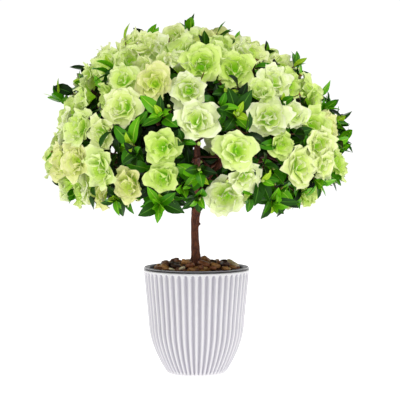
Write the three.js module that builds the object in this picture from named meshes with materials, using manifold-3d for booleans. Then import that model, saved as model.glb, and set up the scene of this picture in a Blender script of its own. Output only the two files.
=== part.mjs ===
// A double-flowered azalea trained as a small standard: one bare stem under a domed head of blossom,
// growing in a white fluted pot with a dark liner and a layer of bark nuggets.
// Millimetres, +Z up. The origin is at the centre of the pot's flat underside, and -Y is the front.
import * as THREE from "three";
import { mergeVertices } from "three/addons/utils/BufferGeometryUtils.js";
import Module from "manifold-3d";

const wasm = await Module();
wasm.setup();

// Driving dimensions
const GAP = 0.3; // clearance between pieces that touch
const CUT = 0.4; // how far a cutter stands out from a limb, so that its flat sides clear the limb by the gap
const LINER_GAP = 0.7; // the same for the soil, whose flat sides stand in the liner's
const POT = {
  height: 156,
  rimRadius: 79.5,
  shoulderRadius: 71.8, // where the straight wall meets the rounded foot
  shoulderHeight: 75,
  footRadius: 44, // of the flat underside
  footCurve: 1.8,
  wall: 5,
  floor: 6,
  flutes: 48,
  fluteDepth: 2.4,
  plainLip: 5, // the smooth band under the rim
};
const LINER = { flangeHeight: 3, flangeInset: 0.8, wall: 2, bottom: 28, bottomRadius: 50, topRadius: 72.5 };
const SOIL = { edgeBelowRim: 9, crownHeight: 160, collarRadius: 13, sides: 24 };
const MULCH = { depth: 3, nuggets: 22, nuggetLength: 18, collarRadius: 12 };
const TRUNK = { forkHeight: 262, topHeight: 272, sides: 9, steps: 10 };
const CROWN = {
  centre: new THREE.Vector3(4, 0, 320),
  reach: 236, // half the widest spread
  rise: 203, // from the widest level up to the top
  drop: 98, // from the widest level down to the bottom of the rounded outline
  hem: -33, // degrees below the widest level where the foliage ends
  boughEnd: 0.5, // share of the way out where a bough enters its mass
  hub: 0.64, // share of the way out where a mass's stem divides
  shoots: 148,
  crowding: 1.2, // above 1, shoots stand closer towards the top
  spacing: 70, // shoots of one mass nearer to each other than this push each other away
  push: 0.25, // share of its nearness by which a neighbour moves a shoot in one round
  rounds: 40,
  scatter: { level: 0.03, turn: 10 }, // how unevenly the shoots start out
  lean: 0.3, // how far a shoot may lean away from straight out
  cellMargin: 24, // how far inside its mass's space a shoot ends
  flowerLevel: 0.975, // share of the way out to a flower's front
  leafLevel: 0.9, // share of the way out to the tip of a leafy shoot
};
// Where the crown stands out from its even outline or falls short of it, as a share of the way out.
const UNEVEN = [
  { azimuth: 180, elevation: 55, share: 0.07, spread: 15 },
  { azimuth: 180, elevation: 16, share: -0.08, spread: 12 },
  { azimuth: 0, elevation: 66, share: -0.12, spread: 14 },
  { azimuth: 0, elevation: 32, share: -0.06, spread: 13 },
  { azimuth: 0, elevation: -24, share: -0.15, spread: 18 },
];
// Most shoots flower. Fewer of them do in the leafy parts, and more where a part's share is negative.
const FLOWERING = 0.92;
const LEAFY = [
  { azimuth: -89, elevation: 0, share: 1.1, spread: 13 },
  { azimuth: -90, elevation: -33, share: 0.3, spread: 9 },
  { azimuth: -103, elevation: 20, share: 0.9, spread: 8 },
  { azimuth: -117, elevation: 8, share: 0.6, spread: 8 },
  { azimuth: -76, elevation: 27, share: 1.0, spread: 11 },
  { azimuth: -62, elevation: -17, share: 0.9, spread: 8 },
  { azimuth: -50, elevation: -34, share: 1.1, spread: 13 },
  { azimuth: -6, elevation: 8, share: 0.9, spread: 17 },
  { azimuth: -89, elevation: 49, share: -0.15, spread: 10 },
  { azimuth: 60, elevation: 20, share: 0.5, spread: 24 },
  { azimuth: 150, elevation: 30, share: 0.4, spread: 20 },
];
const FLOWER = {
  radius: 26.5,
  depth: 23,
  lobes: 5,
  usual: 0.9, // its usual size, and how much larger it can be
  variation: 0.22,
  smallest: 0.74,
  spacing: 0.93, // how close two flowers come, as a share of their radii
};
const LEAF = {
  length: 44,
  width: 19,
  thickness: 1.7,
  behindFlower: 11, // from the flower's base back to its leaves
  flowerSpread: 70, // degrees from the shoot's line
  shootSpread: 58,
  perFlower: 3,
  perShoot: 5,
  usual: 0.8, // a leaf's smallest size, and how much larger it can be
  variation: 0.35,
  unevenSpread: 16,
  unevenTurn: 0.18, // how far a leaf may turn out of its even place in the whorl, as a share
};
const TWIG = { stem: 2.5, branch: 1.15, tip: 1.3 };
// A shoot roots where the way along the twigs is short and bends little.
const ROOTING = { alongStem: [0.55, 1], alongShoot: 0.5, wayBack: 0.35, bend: 40 };
const TIERS = [
  { name: "top", count: 1, elevation: 90, first: 0 },
  { name: "shoulder", count: 6, elevation: 47, first: 30 },
  { name: "skirt", count: 9, elevation: 3, first: 30 },
];

const FINISHES = {
  pot: new THREE.MeshStandardMaterial({ color: "#f1f0ef", roughness: 0.45, metalness: 0 }),
  liner: new THREE.MeshStandardMaterial({ color: "#2b2930", roughness: 0.4, metalness: 0 }),
  soil: new THREE.MeshStandardMaterial({ color: "#33241b", roughness: 0.95, metalness: 0 }),
  mulch: new THREE.MeshStandardMaterial({ color: "#7d5236", roughness: 0.85, metalness: 0 }),
  bark: new THREE.MeshStandardMaterial({ color: "#4f2f20", roughness: 0.9, metalness: 0 }),
  blossom: new THREE.MeshStandardMaterial({ color: "#dcebaa", roughness: 0.6, metalness: 0 }),
};

const degrees = Math.PI / 180;
const GOLDEN_ANGLE = 137.508; // degrees, which spreads points evenly
const UP = new THREE.Vector3(0, 0, 1);

// A fixed share between 0 and 1 for each seed, the same on every run.
function chance(seed) {
  const wave = Math.sin(seed * 12.9898) * 43758.5453;
  return wave - Math.floor(wave);
}

function solidOf(geometry) {
  const bare = geometry.clone();
  bare.deleteAttribute("normal");
  bare.deleteAttribute("uv");
  const merged = mergeVertices(bare, 1e-3);
  const corners = merged.index.array;
  const kept = [];
  for (let i = 0; i < corners.length; i += 3) {
    const [a, b, c] = [corners[i], corners[i + 1], corners[i + 2]];
    if (a !== b && b !== c && a !== c) kept.push(a, b, c);
  }
  const mesh = new wasm.Mesh({
    numProp: 3,
    vertProperties: new Float32Array(merged.attributes.position.array),
    triVerts: new Uint32Array(kept),
  });
  return new wasm.Manifold(mesh);
}

function geometryOf(solid) {
  const mesh = solid.getMesh();
  const geometry = new THREE.BufferGeometry();
  geometry.setAttribute("position", new THREE.BufferAttribute(new Float32Array(mesh.vertProperties), 3));
  geometry.setIndex(new THREE.BufferAttribute(new Uint32Array(mesh.triVerts), 1));
  geometry.computeVertexNormals();
  return geometry;
}

// Joins the pieces and leaves out any scrap that doesn't reach the main body.
function joined(pieces) {
  const bodies = wasm.Manifold.union(pieces).decompose();
  return bodies.reduce((largest, body) => (body.volume() > largest.volume() ? body : largest));
}

function namedMesh(name, solid, finish) {
  const mesh = new THREE.Mesh(geometryOf(solid), finish);
  mesh.name = name;
  return mesh;
}

// A lathe profile is a list of [radius, height] pairs and turns about the Z axis.
function turned(profile, segments) {
  const points = profile.map(([radius, height]) => new THREE.Vector2(radius, height));
  return new THREE.LatheGeometry(points, segments).rotateX(90 * degrees);
}

function moveVertices(geometry, move) {
  const place = geometry.attributes.position;
  const point = new THREE.Vector3();
  for (let i = 0; i < place.count; i++) {
    point.fromBufferAttribute(place, i);
    move(point);
    place.setXYZ(i, point.x, point.y, point.z);
  }
  return geometry;
}

// The pot's outer radius at a height: a rounded foot, then a wall that opens to the rim.
function potRadius(height) {
  if (height >= POT.shoulderHeight) {
    const share = (height - POT.shoulderHeight) / (POT.height - POT.shoulderHeight);
    return POT.shoulderRadius + (POT.rimRadius - POT.shoulderRadius) * share;
  }
  const share = 1 - height / POT.shoulderHeight;
  return POT.footRadius + (POT.shoulderRadius - POT.footRadius) * (1 - share ** POT.footCurve);
}

function makePotCover() {
  const footSteps = [0, 0.22, 0.52, 1].map((share) => share * POT.shoulderHeight);
  const lipStart = POT.height - POT.plainLip;
  const heights = [...footSteps, lipStart, lipStart + 1.5, POT.height];
  const outline = [[0, 0], ...heights.map((height) => [potRadius(height), height]), [0, POT.height]];
  const fluted = moveVertices(turned(outline, POT.flutes * 2), (point) => {
    const radius = Math.hypot(point.x, point.y);
    if (radius < 1 || point.z < 2 || point.z > lipStart + 0.5) return;
    const turn = Math.atan2(point.y, point.x) / (2 * Math.PI);
    const groove = Math.round(turn * POT.flutes * 2) & 1;
    const share = 1 - (groove * POT.fluteDepth) / radius;
    point.x *= share;
    point.y *= share;
  });
  const innerHeights = [POT.floor, POT.shoulderHeight * 0.3, POT.shoulderHeight, POT.height + 1];
  const cavity = [
    [0, POT.floor],
    ...innerHeights.map((height) => [potRadius(height) - POT.wall, height]),
    [0, POT.height + 1],
  ];
  return solidOf(fluted).subtract(solidOf(turned(cavity, 36)));
}

const linerTop = POT.height + GAP + LINER.flangeHeight;

function linerInnerRadius(height) {
  const share = (height - LINER.bottom) / (linerTop - LINER.bottom);
  return LINER.bottomRadius + (LINER.topRadius - LINER.bottomRadius) * share - LINER.wall;
}

function makePotLiner() {
  const flangeRadius = POT.rimRadius - LINER.flangeInset;
  const flangeUnder = POT.height + GAP;
  const bend = 1;
  const profile = [
    [0, LINER.bottom],
    [LINER.bottomRadius, LINER.bottom],
    [linerInnerRadius(flangeUnder) + LINER.wall, flangeUnder],
    [flangeRadius, flangeUnder],
    [flangeRadius + bend * 0.5, flangeUnder + LINER.flangeHeight / 2],
    [flangeRadius - bend, linerTop],
    [linerInnerRadius(linerTop) + bend, linerTop],
    [linerInnerRadius(linerTop - bend), linerTop - bend],
    [linerInnerRadius(LINER.bottom + LINER.wall), LINER.bottom + LINER.wall],
    [0, LINER.bottom + LINER.wall],
  ];
  return solidOf(turned(profile, 36));
}

const soilEdge = linerTop - SOIL.edgeBelowRim;

// The soil's surface rises from the liner's wall to a flat collar round the stem.
const soilProfile = [
  [linerInnerRadius(soilEdge) - LINER_GAP, soilEdge],
  [SOIL.collarRadius, SOIL.crownHeight],
];

function soilHeight(radius) {
  const [edge, collar] = soilProfile;
  const share = THREE.MathUtils.clamp((edge[0] - radius) / (edge[0] - collar[0]), 0, 1);
  return THREE.MathUtils.lerp(edge[1], collar[1], share);
}

function makeRootBall() {
  const low = LINER.bottom + LINER.wall + GAP;
  const profile = [[0, low], [linerInnerRadius(low) - LINER_GAP, low], ...soilProfile, [0, SOIL.crownHeight]];
  return solidOf(turned(profile, SOIL.sides));
}

// A bark nugget: a block with uneven corners.
function makeNugget(seed, length) {
  const block = moveVertices(new THREE.BoxGeometry(1, 1, 1), (point) => {
    const corner = seed * 8 + (point.x > 0) + 2 * (point.y > 0) + 4 * (point.z > 0);
    point.x *= 0.75 + 0.35 * chance(corner + 11);
    point.y *= 0.7 + 0.4 * chance(corner + 311);
    point.z *= 0.8 + 0.3 * chance(corner + 611);
  });
  block.scale(length, length * 0.62, length * 0.42).rotateX((chance(seed + 31) - 0.5) * 16 * degrees);
  return block.rotateZ(chance(seed + 51) * 360 * degrees);
}

// Nuggets stand in a thin bed of chips, clear of the stem.
function makeBarkMulch() {
  const outer = linerInnerRadius(soilEdge) - 3 * GAP;
  const radii = [outer, SOIL.collarRadius, MULCH.collarRadius];
  const upper = radii.map((radius) => [radius, soilHeight(radius) + GAP + MULCH.depth]);
  const lower = radii.map((radius) => [radius, soilHeight(radius) + GAP]).reverse();
  const pieces = [solidOf(turned([...upper, ...lower, upper[0]], SOIL.sides))];
  for (let i = 0; i < MULCH.nuggets; i++) {
    const length = MULCH.nuggetLength * (0.75 + 0.5 * chance(i + 71));
    const spread = Math.sqrt((i + 0.5) / MULCH.nuggets);
    const inner = MULCH.collarRadius + length * 0.6;
    const radius = inner + (outer - length * 0.6 - inner) * spread;
    const around = i * GOLDEN_ANGLE * degrees;
    const height = soilHeight(radius) + MULCH.depth + length * 0.2;
    const nugget = makeNugget(i, length);
    pieces.push(solidOf(nugget.translate(radius * Math.cos(around), radius * Math.sin(around), height)));
  }
  return joined(pieces);
}

// A limb follows a curve through its points, and its radius runs through its radii.
function makeLimb(points, radii, sides, steps) {
  const curve = new THREE.CatmullRomCurve3(points, false, "centripetal");
  const frames = curve.computeFrenetFrames(steps, false);
  const tube = new THREE.CylinderGeometry(1, 1, 1, sides, steps).translate(0, 0.5, 0);
  return solidOf(
    moveVertices(tube, (point) => {
      const step = Math.round(point.y * steps);
      const along = (step / steps) * (radii.length - 1);
      const before = Math.min(Math.floor(along), radii.length - 2);
      const radius = THREE.MathUtils.lerp(radii[before], radii[before + 1], along - before);
      const [across, lift] = [point.x * radius, point.z * radius];
      point.copy(curve.getPointAt(step / steps));
      point.addScaledVector(frames.binormals[step], across).addScaledVector(frames.normals[step], lift);
    }),
  );
}

// The stem: a root flare, a slight lean to the left, and a swelling where the head divides.
const trunkPoints = [
  [-0.5, SOIL.crownHeight + GAP],
  [-1, 172],
  [-2, 196],
  [-2.4, 222],
  [-0.6, 242],
  [1.5, TRUNK.forkHeight - 4],
  [2.4, TRUNK.topHeight],
].map(([x, z]) => new THREE.Vector3(x, 0, z));
const trunkRadii = [9.6, 6.8, 6.1, 5.8, 6.6, 7.6, 6.4];

function makeTrunk(grown = 0) {
  const points = trunkPoints.map((point) => point.clone());
  points[points.length - 1].z += grown;
  const limb = makeLimb(points, trunkRadii.map((radius) => radius + grown), TRUNK.sides, TRUNK.steps);
  const ground = SOIL.crownHeight + GAP;
  const below = solidOf(new THREE.BoxGeometry(60, 60, 20).translate(0, 0, ground - 10));
  return grown ? limb : limb.subtract(below);
}

// The angle in degrees between two directions given by azimuth and elevation.
function angleBetween(azimuth, elevation, other) {
  const [e, f] = [elevation * degrees, other.elevation * degrees];
  const turn = (azimuth - other.azimuth) * degrees;
  const cosine = Math.sin(e) * Math.sin(f) + Math.cos(e) * Math.cos(f) * Math.cos(turn);
  return Math.acos(Math.min(1, Math.max(-1, cosine))) / degrees;
}

// How strongly a local feature is felt in a direction: its share at its middle, fading all round.
function feltFrom(feature, azimuth, elevation) {
  const away = angleBetween(azimuth, elevation, feature) / feature.spread;
  return feature.share * Math.exp(-away * away);
}

// A point of the crown: share 1 is on its outline, and 0 is its centre.
function inCrown(azimuth, elevation, share) {
  const [a, e] = [azimuth * degrees, elevation * degrees];
  const height = e > 0 ? CROWN.rise : CROWN.drop;
  const uneven = UNEVEN.reduce((sum, feature) => sum + feltFrom(feature, azimuth, elevation), 1);
  const offset = new THREE.Vector3(
    CROWN.reach * Math.cos(e) * Math.cos(a),
    CROWN.reach * Math.cos(e) * Math.sin(a),
    height * Math.sin(e),
  );
  return offset.multiplyScalar(share * uneven).add(CROWN.centre);
}

// The way out of the crown at one of its points.
function outwardAt(point) {
  const offset = point.clone().sub(CROWN.centre);
  const height = offset.z > 0 ? CROWN.rise : CROWN.drop * 1.6;
  const flat = CROWN.reach * CROWN.reach;
  return new THREE.Vector3(offset.x / flat, offset.y / flat, offset.z / (height * height)).normalize();
}

const masses = TIERS.flatMap((tier) =>
  Array.from({ length: tier.count }, (_, i) => {
    const azimuth = tier.first + (360 / tier.count) * i;
    return {
      tier: tier.name,
      name: tier.count > 1 ? `${tier.name}_${i + 1}` : tier.name,
      azimuth,
      elevation: tier.elevation,
      seed: inCrown(azimuth, tier.elevation, 0.8),
      entry: inCrown(azimuth, tier.elevation, CROWN.boughEnd),
      hub: inCrown(azimuth, tier.elevation, CROWN.hub),
    };
  }),
);

// Each bough: leaders rise from the fork to the top and shoulder masses, and limbs leave the leaders
// for the skirt masses.
const LEADER = { base: 3.7, tip: 2.5, sides: 5, steps: 4, sag: 7, waver: 8 };
const SIDE_LIMB = { base: 3, tip: 2.2, sides: 5, steps: 4, sag: 6 };
const LIMB_CLEARANCE = 4; // between the limbs and the foliage

function leaderPath(mass, order) {
  const low = TRUNK.forkHeight - (order % 2 ? 9 : 1);
  const start = new THREE.Vector3(1.5, 0, mass.tier === "top" ? TRUNK.topHeight - 3 : low);
  const middle = start.clone().lerp(mass.entry, 0.45);
  middle.z -= mass.tier === "top" ? 0 : LEADER.sag;
  middle.x += (chance(order + 71) - 0.5) * LEADER.waver;
  middle.y += (chance(order + 81) - 0.5) * LEADER.waver;
  return [start, middle, mass.entry];
}

function boughAlong(path, mass, { base, tip, sides, steps }, cutters) {
  const curve = new THREE.CatmullRomCurve3(path, false, "centripetal");
  const whole = makeLimb(path, [base, tip], sides, steps);
  return {
    mass,
    path,
    curve,
    solid: joined([cutters.reduce((solid, cutter) => solid.subtract(cutter), whole)]),
    grown: makeLimb(path, [base + CUT, tip + CUT], sides, steps),
    heading: curve.getTangentAt(1),
  };
}

function makeBoughs() {
  const stem = makeTrunk(CUT);
  const leaders = masses
    .filter((mass) => mass.tier !== "skirt")
    .map((mass, order) => boughAlong(leaderPath(mass, order), mass, LEADER, [stem]));
  const shoulders = leaders.filter((leader) => leader.mass.tier === "shoulder");
  const limbs = masses
    .filter((mass) => mass.tier === "skirt")
    .map((mass, order) => {
      const apart = (leader) => angleBetween(mass.azimuth, 0, { azimuth: leader.mass.azimuth, elevation: 0 });
      const parent = shoulders.reduce((best, leader) => (apart(leader) < apart(best) ? leader : best));
      const start = parent.curve.getPointAt(0.2 + 0.12 * (order % 3));
      const middle = start.clone().lerp(mass.entry, 0.5);
      middle.z -= SIDE_LIMB.sag;
      return boughAlong([start, middle, mass.entry], mass, SIDE_LIMB, [parent.grown, stem]);
    });
  return [...leaders, ...limbs];
}

const boughs = makeBoughs();
const limbPaths = [
  { points: trunkPoints, radius: 8 },
  ...boughs.map((bough) => ({ points: bough.path, radius: LEADER.base })),
];

// True if the point is clear of the trunk and of every bough.
function clearOfLimbs(point) {
  const nearest = new THREE.Vector3();
  return limbPaths.every(({ points, radius }) =>
    points.slice(1).every((end, i) => {
      new THREE.Line3(points[i], end).closestPointToPoint(point, true, nearest);
      return nearest.distanceTo(point) > radius + LIMB_CLEARANCE;
    }),
  );
}

// How far a point lies inside a mass's own space, which is bounded by planes midway to its neighbours.
function depthInside(mass, point) {
  let least = { depth: Infinity, inward: UP };
  for (const other of masses) {
    if (other === mass) continue;
    const inward = mass.seed.clone().sub(other.seed);
    const middle = mass.seed.clone().add(other.seed).multiplyScalar(0.5);
    inward.normalize();
    const depth = point.clone().sub(middle).dot(inward);
    if (depth < least.depth) least = { depth, inward };
  }
  return least;
}

// The point moved, if need be, until it lies at least the margin inside the mass's space.
function movedInside(mass, point, margin) {
  const moved = point.clone();
  for (let round = 0; round < 12; round++) {
    const { depth, inward } = depthInside(mass, moved);
    if (depth >= margin) return moved;
    moved.addScaledVector(inward, margin - depth + 0.05);
  }
  return null;
}

// The azimuth and elevation of a point as seen from the crown's centre.
function directionOf(point) {
  const offset = point.clone().sub(CROWN.centre);
  const height = offset.z > 0 ? CROWN.rise : CROWN.drop;
  const across = Math.hypot(offset.x, offset.y) / CROWN.reach;
  const elevation = Math.atan2(offset.z / height, across) / degrees;
  return { azimuth: Math.atan2(offset.y, offset.x) / degrees, elevation: Math.max(CROWN.hem, elevation) };
}

// Shoots start out spread over the crown by the golden angle, with a small seeded shift.
function firstShoots() {
  const lowest = Math.sin(CROWN.hem * degrees);
  return Array.from({ length: CROWN.shoots }, (_, seed) => {
    const level = 1 - ((seed + 0.5) / CROWN.shoots) ** CROWN.crowding * (1 - lowest);
    const shift = (chance(seed + 101) - 0.5) * CROWN.scatter.level;
    const elevation = Math.asin(Math.max(-1, Math.min(0.998, level + shift))) / degrees;
    const turn = (chance(seed + 201) - 0.5) * CROWN.scatter.turn;
    return { seed, azimuth: seed * GOLDEN_ANGLE + turn, elevation };
  });
}

// Then the shoots of each mass push each other apart until they fill its space evenly.
function makeShoots() {
  const shoots = firstShoots();
  for (let round = 0; round < CROWN.rounds; round++) {
    const ends = shoots.map((shoot) => placeFront(shoot, 1, CROWN.cellMargin));
    shoots.forEach((shoot, i) => {
      const { front, mass } = ends[i];
      const moved = front.clone();
      for (const end of ends) {
        const away = front.clone().sub(end.front);
        const distance = away.length();
        if (end.mass !== mass || distance < 0.01 || distance > CROWN.spacing) continue;
        moved.addScaledVector(away, (CROWN.push * (CROWN.spacing - distance)) / distance);
      }
      Object.assign(shoot, directionOf(moved));
    });
  }
  return shoots;
}

function massOf(point) {
  return masses.reduce((best, mass) =>
    mass.seed.distanceTo(point) < best.seed.distanceTo(point) ? mass : best,
  );
}

// Places a shoot's front in the mass that it belongs to, at least the margin inside that mass's space.
function placeFront(shoot, level, margin) {
  const surface = inCrown(shoot.azimuth, shoot.elevation, level);
  const mass = massOf(surface);
  const front = movedInside(mass, surface, margin);
  return { mass, front: front || surface, fits: front !== null };
}

function wantsFlower({ seed, azimuth, elevation }) {
  const fewer = LEAFY.reduce((sum, part) => sum + feltFrom(part, azimuth, elevation), 0);
  return chance(seed + 301) < FLOWERING - fewer;
}

// Settles where each shoot ends and how it faces. One that has no room for a flower bears leaves only.
function settleShoots() {
  const flowering = [];
  return makeShoots().map((shoot) => {
    const lean = [701, 801, 901].map((salt) => (chance(shoot.seed + salt) - 0.5) * CROWN.lean);
    const surface = inCrown(shoot.azimuth, shoot.elevation, 1);
    const axis = outwardAt(surface).add(new THREE.Vector3(...lean)).normalize();
    const asFlower = (size) => {
      const radius = FLOWER.radius * size;
      const place = placeFront(shoot, CROWN.flowerLevel, radius + 3 * GAP);
      const hasRoom = (other) =>
        other.front.distanceTo(place.front) > FLOWER.spacing * (radius + other.radius);
      return place.fits && flowering.every(hasRoom) && { ...place, size, radius, flowers: true };
    };
    let settled = false;
    const wanted = wantsFlower(shoot) ? FLOWER.usual + FLOWER.variation * chance(shoot.seed + 401) : 0;
    for (let size = wanted; !settled && size > FLOWER.smallest; size -= 0.06) settled = asFlower(size);
    settled = settled || { ...placeFront(shoot, CROWN.leafLevel, 9), size: 1, flowers: false };
    if (settled.flowers) flowering.push(settled);
    const [depth, behind] = settled.flowers ? [FLOWER.depth * settled.size, LEAF.behindFlower] : [0, 0];
    const base = settled.front.clone().addScaledVector(axis, -depth);
    const elbow = base.clone().addScaledVector(axis, -behind);
    return { seed: shoot.seed, axis, base, elbow, ...settled };
  });
}

const shoots = settleShoots();

// The faces between two rings of corners, taken in order of their turns round the shoot.
function band(lower, upper) {
  const faces = [];
  const at = (ring, i) => ring[i % ring.length].point;
  const turnOf = (ring, i) => ring[i % ring.length].turn + 360 * Math.floor(i / ring.length);
  for (let i = 0, j = 0; i < lower.length || j < upper.length; ) {
    const lowerNext = i < lower.length ? turnOf(lower, i + 1) : Infinity;
    const upperNext = j < upper.length ? turnOf(upper, j + 1) : Infinity;
    if (lowerNext <= upperNext) {
      faces.push(at(lower, i), at(lower, i + 1), at(upper, j));
      i++;
    } else {
      faces.push(at(lower, i), at(upper, j + 1), at(upper, j));
      j++;
    }
  }
  return faces;
}

// The faces that close a ring with a flat end, and those that close it with a point.
function capped(ring) {
  return ring.slice(2).flatMap((corner, i) => [ring[0].point, corner.point, ring[i + 1].point]);
}

function closing(ring, tip) {
  return ring.flatMap((corner, i) => [corner.point, ring[(i + 1) % ring.length].point, tip]);
}

// A frame turns the Z axis to a direction. A second frame is reached by the shortest turn from it.
function frameAlong(way, from) {
  const frame = from ? from.clone() : new THREE.Quaternion();
  const current = UP.clone().applyQuaternion(frame);
  return new THREE.Quaternion().setFromUnitVectors(current, way).multiply(frame);
}

function directionAt(frame, turn) {
  return new THREE.Vector3(Math.cos(turn * degrees), Math.sin(turn * degrees), 0).applyQuaternion(frame);
}

// A ring of corners at the given turns, all at one radius and lift from its centre.
function ringAt(centre, frame, radius, turns, lift = 0) {
  const middle = UP.clone().applyQuaternion(frame).multiplyScalar(lift).add(centre);
  return turns.map((turn) => {
    const point = middle.clone().addScaledVector(directionAt(frame, turn), radius);
    return { turn, point };
  });
}

function evenTurns(count, first = 0) {
  return Array.from({ length: count }, (_, i) => first + (360 * i) / count);
}

// A flower: a funnel with a lobed, ruffled rim round a raised rosette of petals.
function flowerRings({ seed, base, axis, size, radius }) {
  const frame = frameAlong(axis);
  const depth = FLOWER.depth * size;
  const turns = evenTurns(FLOWER.lobes * 2, 30 * chance(seed + 501));
  const lobes = ringAt(base, frame, radius, turns, depth * 0.58);
  const dips = ringAt(base, frame, radius * 0.85, turns, depth * 0.82);
  return [
    turns.map((_, i) => (i % 2 ? dips[i] : lobes[i])),
    ringAt(base, frame, radius * 0.46, turns.filter((_, i) => i % 2 === 0), depth * 0.6),
    [{ point: base.clone().addScaledVector(axis, depth * 0.96) }],
  ];
}

// One leaf of a whorl: its tip, and the two edges of its blade at its widest.
function leafAt(shoot, frame, turn, spread, size) {
  const outward = directionAt(frame, turn);
  const way = UP.clone().applyQuaternion(frame).multiplyScalar(Math.cos(spread * degrees));
  way.addScaledVector(outward, Math.sin(spread * degrees));
  const side = directionAt(frame, turn + 90);
  const middle = shoot.elbow.clone().addScaledVector(way, LEAF.length * size * 0.5);
  const half = LEAF.width * size * 0.5;
  return {
    turn,
    right: middle.clone().addScaledVector(side, -half),
    left: middle.clone().addScaledVector(side, half),
    tip: shoot.elbow.clone().addScaledVector(way, LEAF.length * size),
  };
}

// The faces of one leaf, which grows out of one side of its twig between two pairs of corners.
function leafFaces(leaf, [lowRight, lowLeft], [highRight, highLeft]) {
  const [right, tip, left] = [leaf.right, leaf.tip, leaf.left];
  const under = [lowRight, tip, right, lowRight, lowLeft, tip, lowLeft, left, tip];
  const over = [highRight, right, tip, highRight, tip, highLeft, highLeft, tip, left];
  return [...under, ...over, lowRight, right, highRight, lowLeft, highLeft, left];
}

// A shoot's whorl: the side of the twig below each leaf's turn, and the leaf there if there is room.
function planWhorl(shoot) {
  const way = shoot.elbow.clone().sub(shoot.root).normalize();
  const count = shoot.flowers ? LEAF.perFlower : LEAF.perShoot;
  const spread = shoot.flowers ? LEAF.flowerSpread : LEAF.shootSpread;
  const frame = frameAlong(way.clone().multiplyScalar(0.5).add(shoot.axis).normalize());
  const first = chance(shoot.seed + 601) * (360 / count);
  const leaves = evenTurns(count, first).map((even, i) => {
    const salt = shoot.seed * 7 + i;
    const turn = even + (chance(salt + 1101) - 0.5) * LEAF.unevenTurn * (360 / count);
    const tilt = spread + (chance(salt + 1201) - 0.5) * LEAF.unevenSpread;
    return leafAt(shoot, frame, turn, tilt, LEAF.usual + LEAF.variation * chance(salt + 1301));
  });
  const corners = leaves.map((leaf, i) => {
    const before = i ? leaves[i - 1].turn : leaves[count - 1].turn - 360;
    return (leaf.turn + before) / 2;
  });
  const low = ringAt(shoot.elbow, frame, TWIG.tip, corners, -LEAF.thickness);
  const high = ringAt(shoot.elbow, frame, TWIG.tip, corners, LEAF.thickness);
  return { way, frame, corners, leaves, low, high, next: (i) => (i + 1) % count };
}

function surfaceOf(points) {
  const numbers = points.flatMap((point) => point.toArray());
  return new THREE.BufferGeometry().setAttribute("position", new THREE.Float32BufferAttribute(numbers, 3));
}

// The blade of one leaf by itself, which shows whether the leaf has room.
function loneLeaf({ low, high, next, leaves }, i) {
  const ends = [low[i], low[next(i)], high[i], high[next(i)]].map(({ point }) =>
    point.clone().lerp(leaves[i].tip, 0.12),
  );
  const [lowRight, lowLeft, highRight, highLeft] = ends;
  const heel = [lowRight, highRight, highLeft, lowRight, highLeft, lowLeft];
  return surfaceOf([...heel, ...leafFaces(leaves[i], [lowRight, lowLeft], [highRight, highLeft])]);
}

// A shoot is one skin: its twig, the leaves of its whorl and, on most shoots, a flower.
function makeShoot(shoot, whorl, kept) {
  const { frame, corners, low, high, next, leaves } = whorl;
  const thick = TWIG.branch * (0.85 + 0.3 * chance(shoot.seed + 1401));
  const root = ringAt(shoot.root, frameAlong(whorl.way, frame), thick, corners);
  const faces = [...capped(root), ...band(root, low)];
  leaves.forEach((leaf, i) => {
    const [lows, highs] = [low, high].map((ring) => [ring[i].point, ring[next(i)].point]);
    if (kept.includes(i)) faces.push(...leafFaces(leaf, lows, highs));
    else faces.push(lows[0], lows[1], highs[1], lows[0], highs[1], highs[0]);
  });
  if (!shoot.flowers) {
    const tip = UP.clone().applyQuaternion(frame).multiplyScalar(LEAF.thickness * 3).add(shoot.elbow);
    return surfaceOf([...faces, ...closing(high, tip)]);
  }
  const base = ringAt(shoot.base, frameAlong(shoot.axis, frame), TWIG.tip, corners);
  const [rim, inner, [heart]] = flowerRings(shoot);
  faces.push(...band(high, base), ...band(base, rim), ...band(rim, inner), ...closing(inner, heart.point));
  return surfaceOf(faces);
}

function staysInside(mass, geometry) {
  const place = geometry.attributes.position;
  const point = new THREE.Vector3();
  for (let i = 0; i < place.count; i++) {
    point.fromBufferAttribute(place, i);
    if (depthInside(mass, point).depth < GAP || !clearOfLimbs(point)) return false;
  }
  return true;
}

// A mass grows from its stem: each shoot joins the nearest twig that is already there.
function rootShoots(mass, start) {
  const stemPoint = (share) => start.clone().lerp(mass.hub, share);
  const joints = ROOTING.alongStem.map((share) => ({ point: stemPoint(share), length: 0 }));
  const own = shoots.filter((shoot) => shoot.mass === mass);
  own.sort((a, b) => a.elbow.distanceTo(mass.hub) - b.elbow.distanceTo(mass.hub));
  for (const shoot of own) {
    const cost = (joint) => {
      const way = shoot.elbow.clone().sub(joint.point);
      const bend = 1 - way.dot(shoot.axis) / way.length();
      return way.length() + ROOTING.wayBack * joint.length + ROOTING.bend * bend;
    };
    const joint = joints.reduce((best, other) => (cost(other) < cost(best) ? other : best));
    shoot.root = joint.point;
    const length = joint.length + joint.point.distanceTo(shoot.elbow);
    const along = ROOTING.alongShoot;
    joints.push({ point: joint.point.clone().lerp(shoot.elbow, along), length: length * along });
  }
  return own;
}

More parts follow.
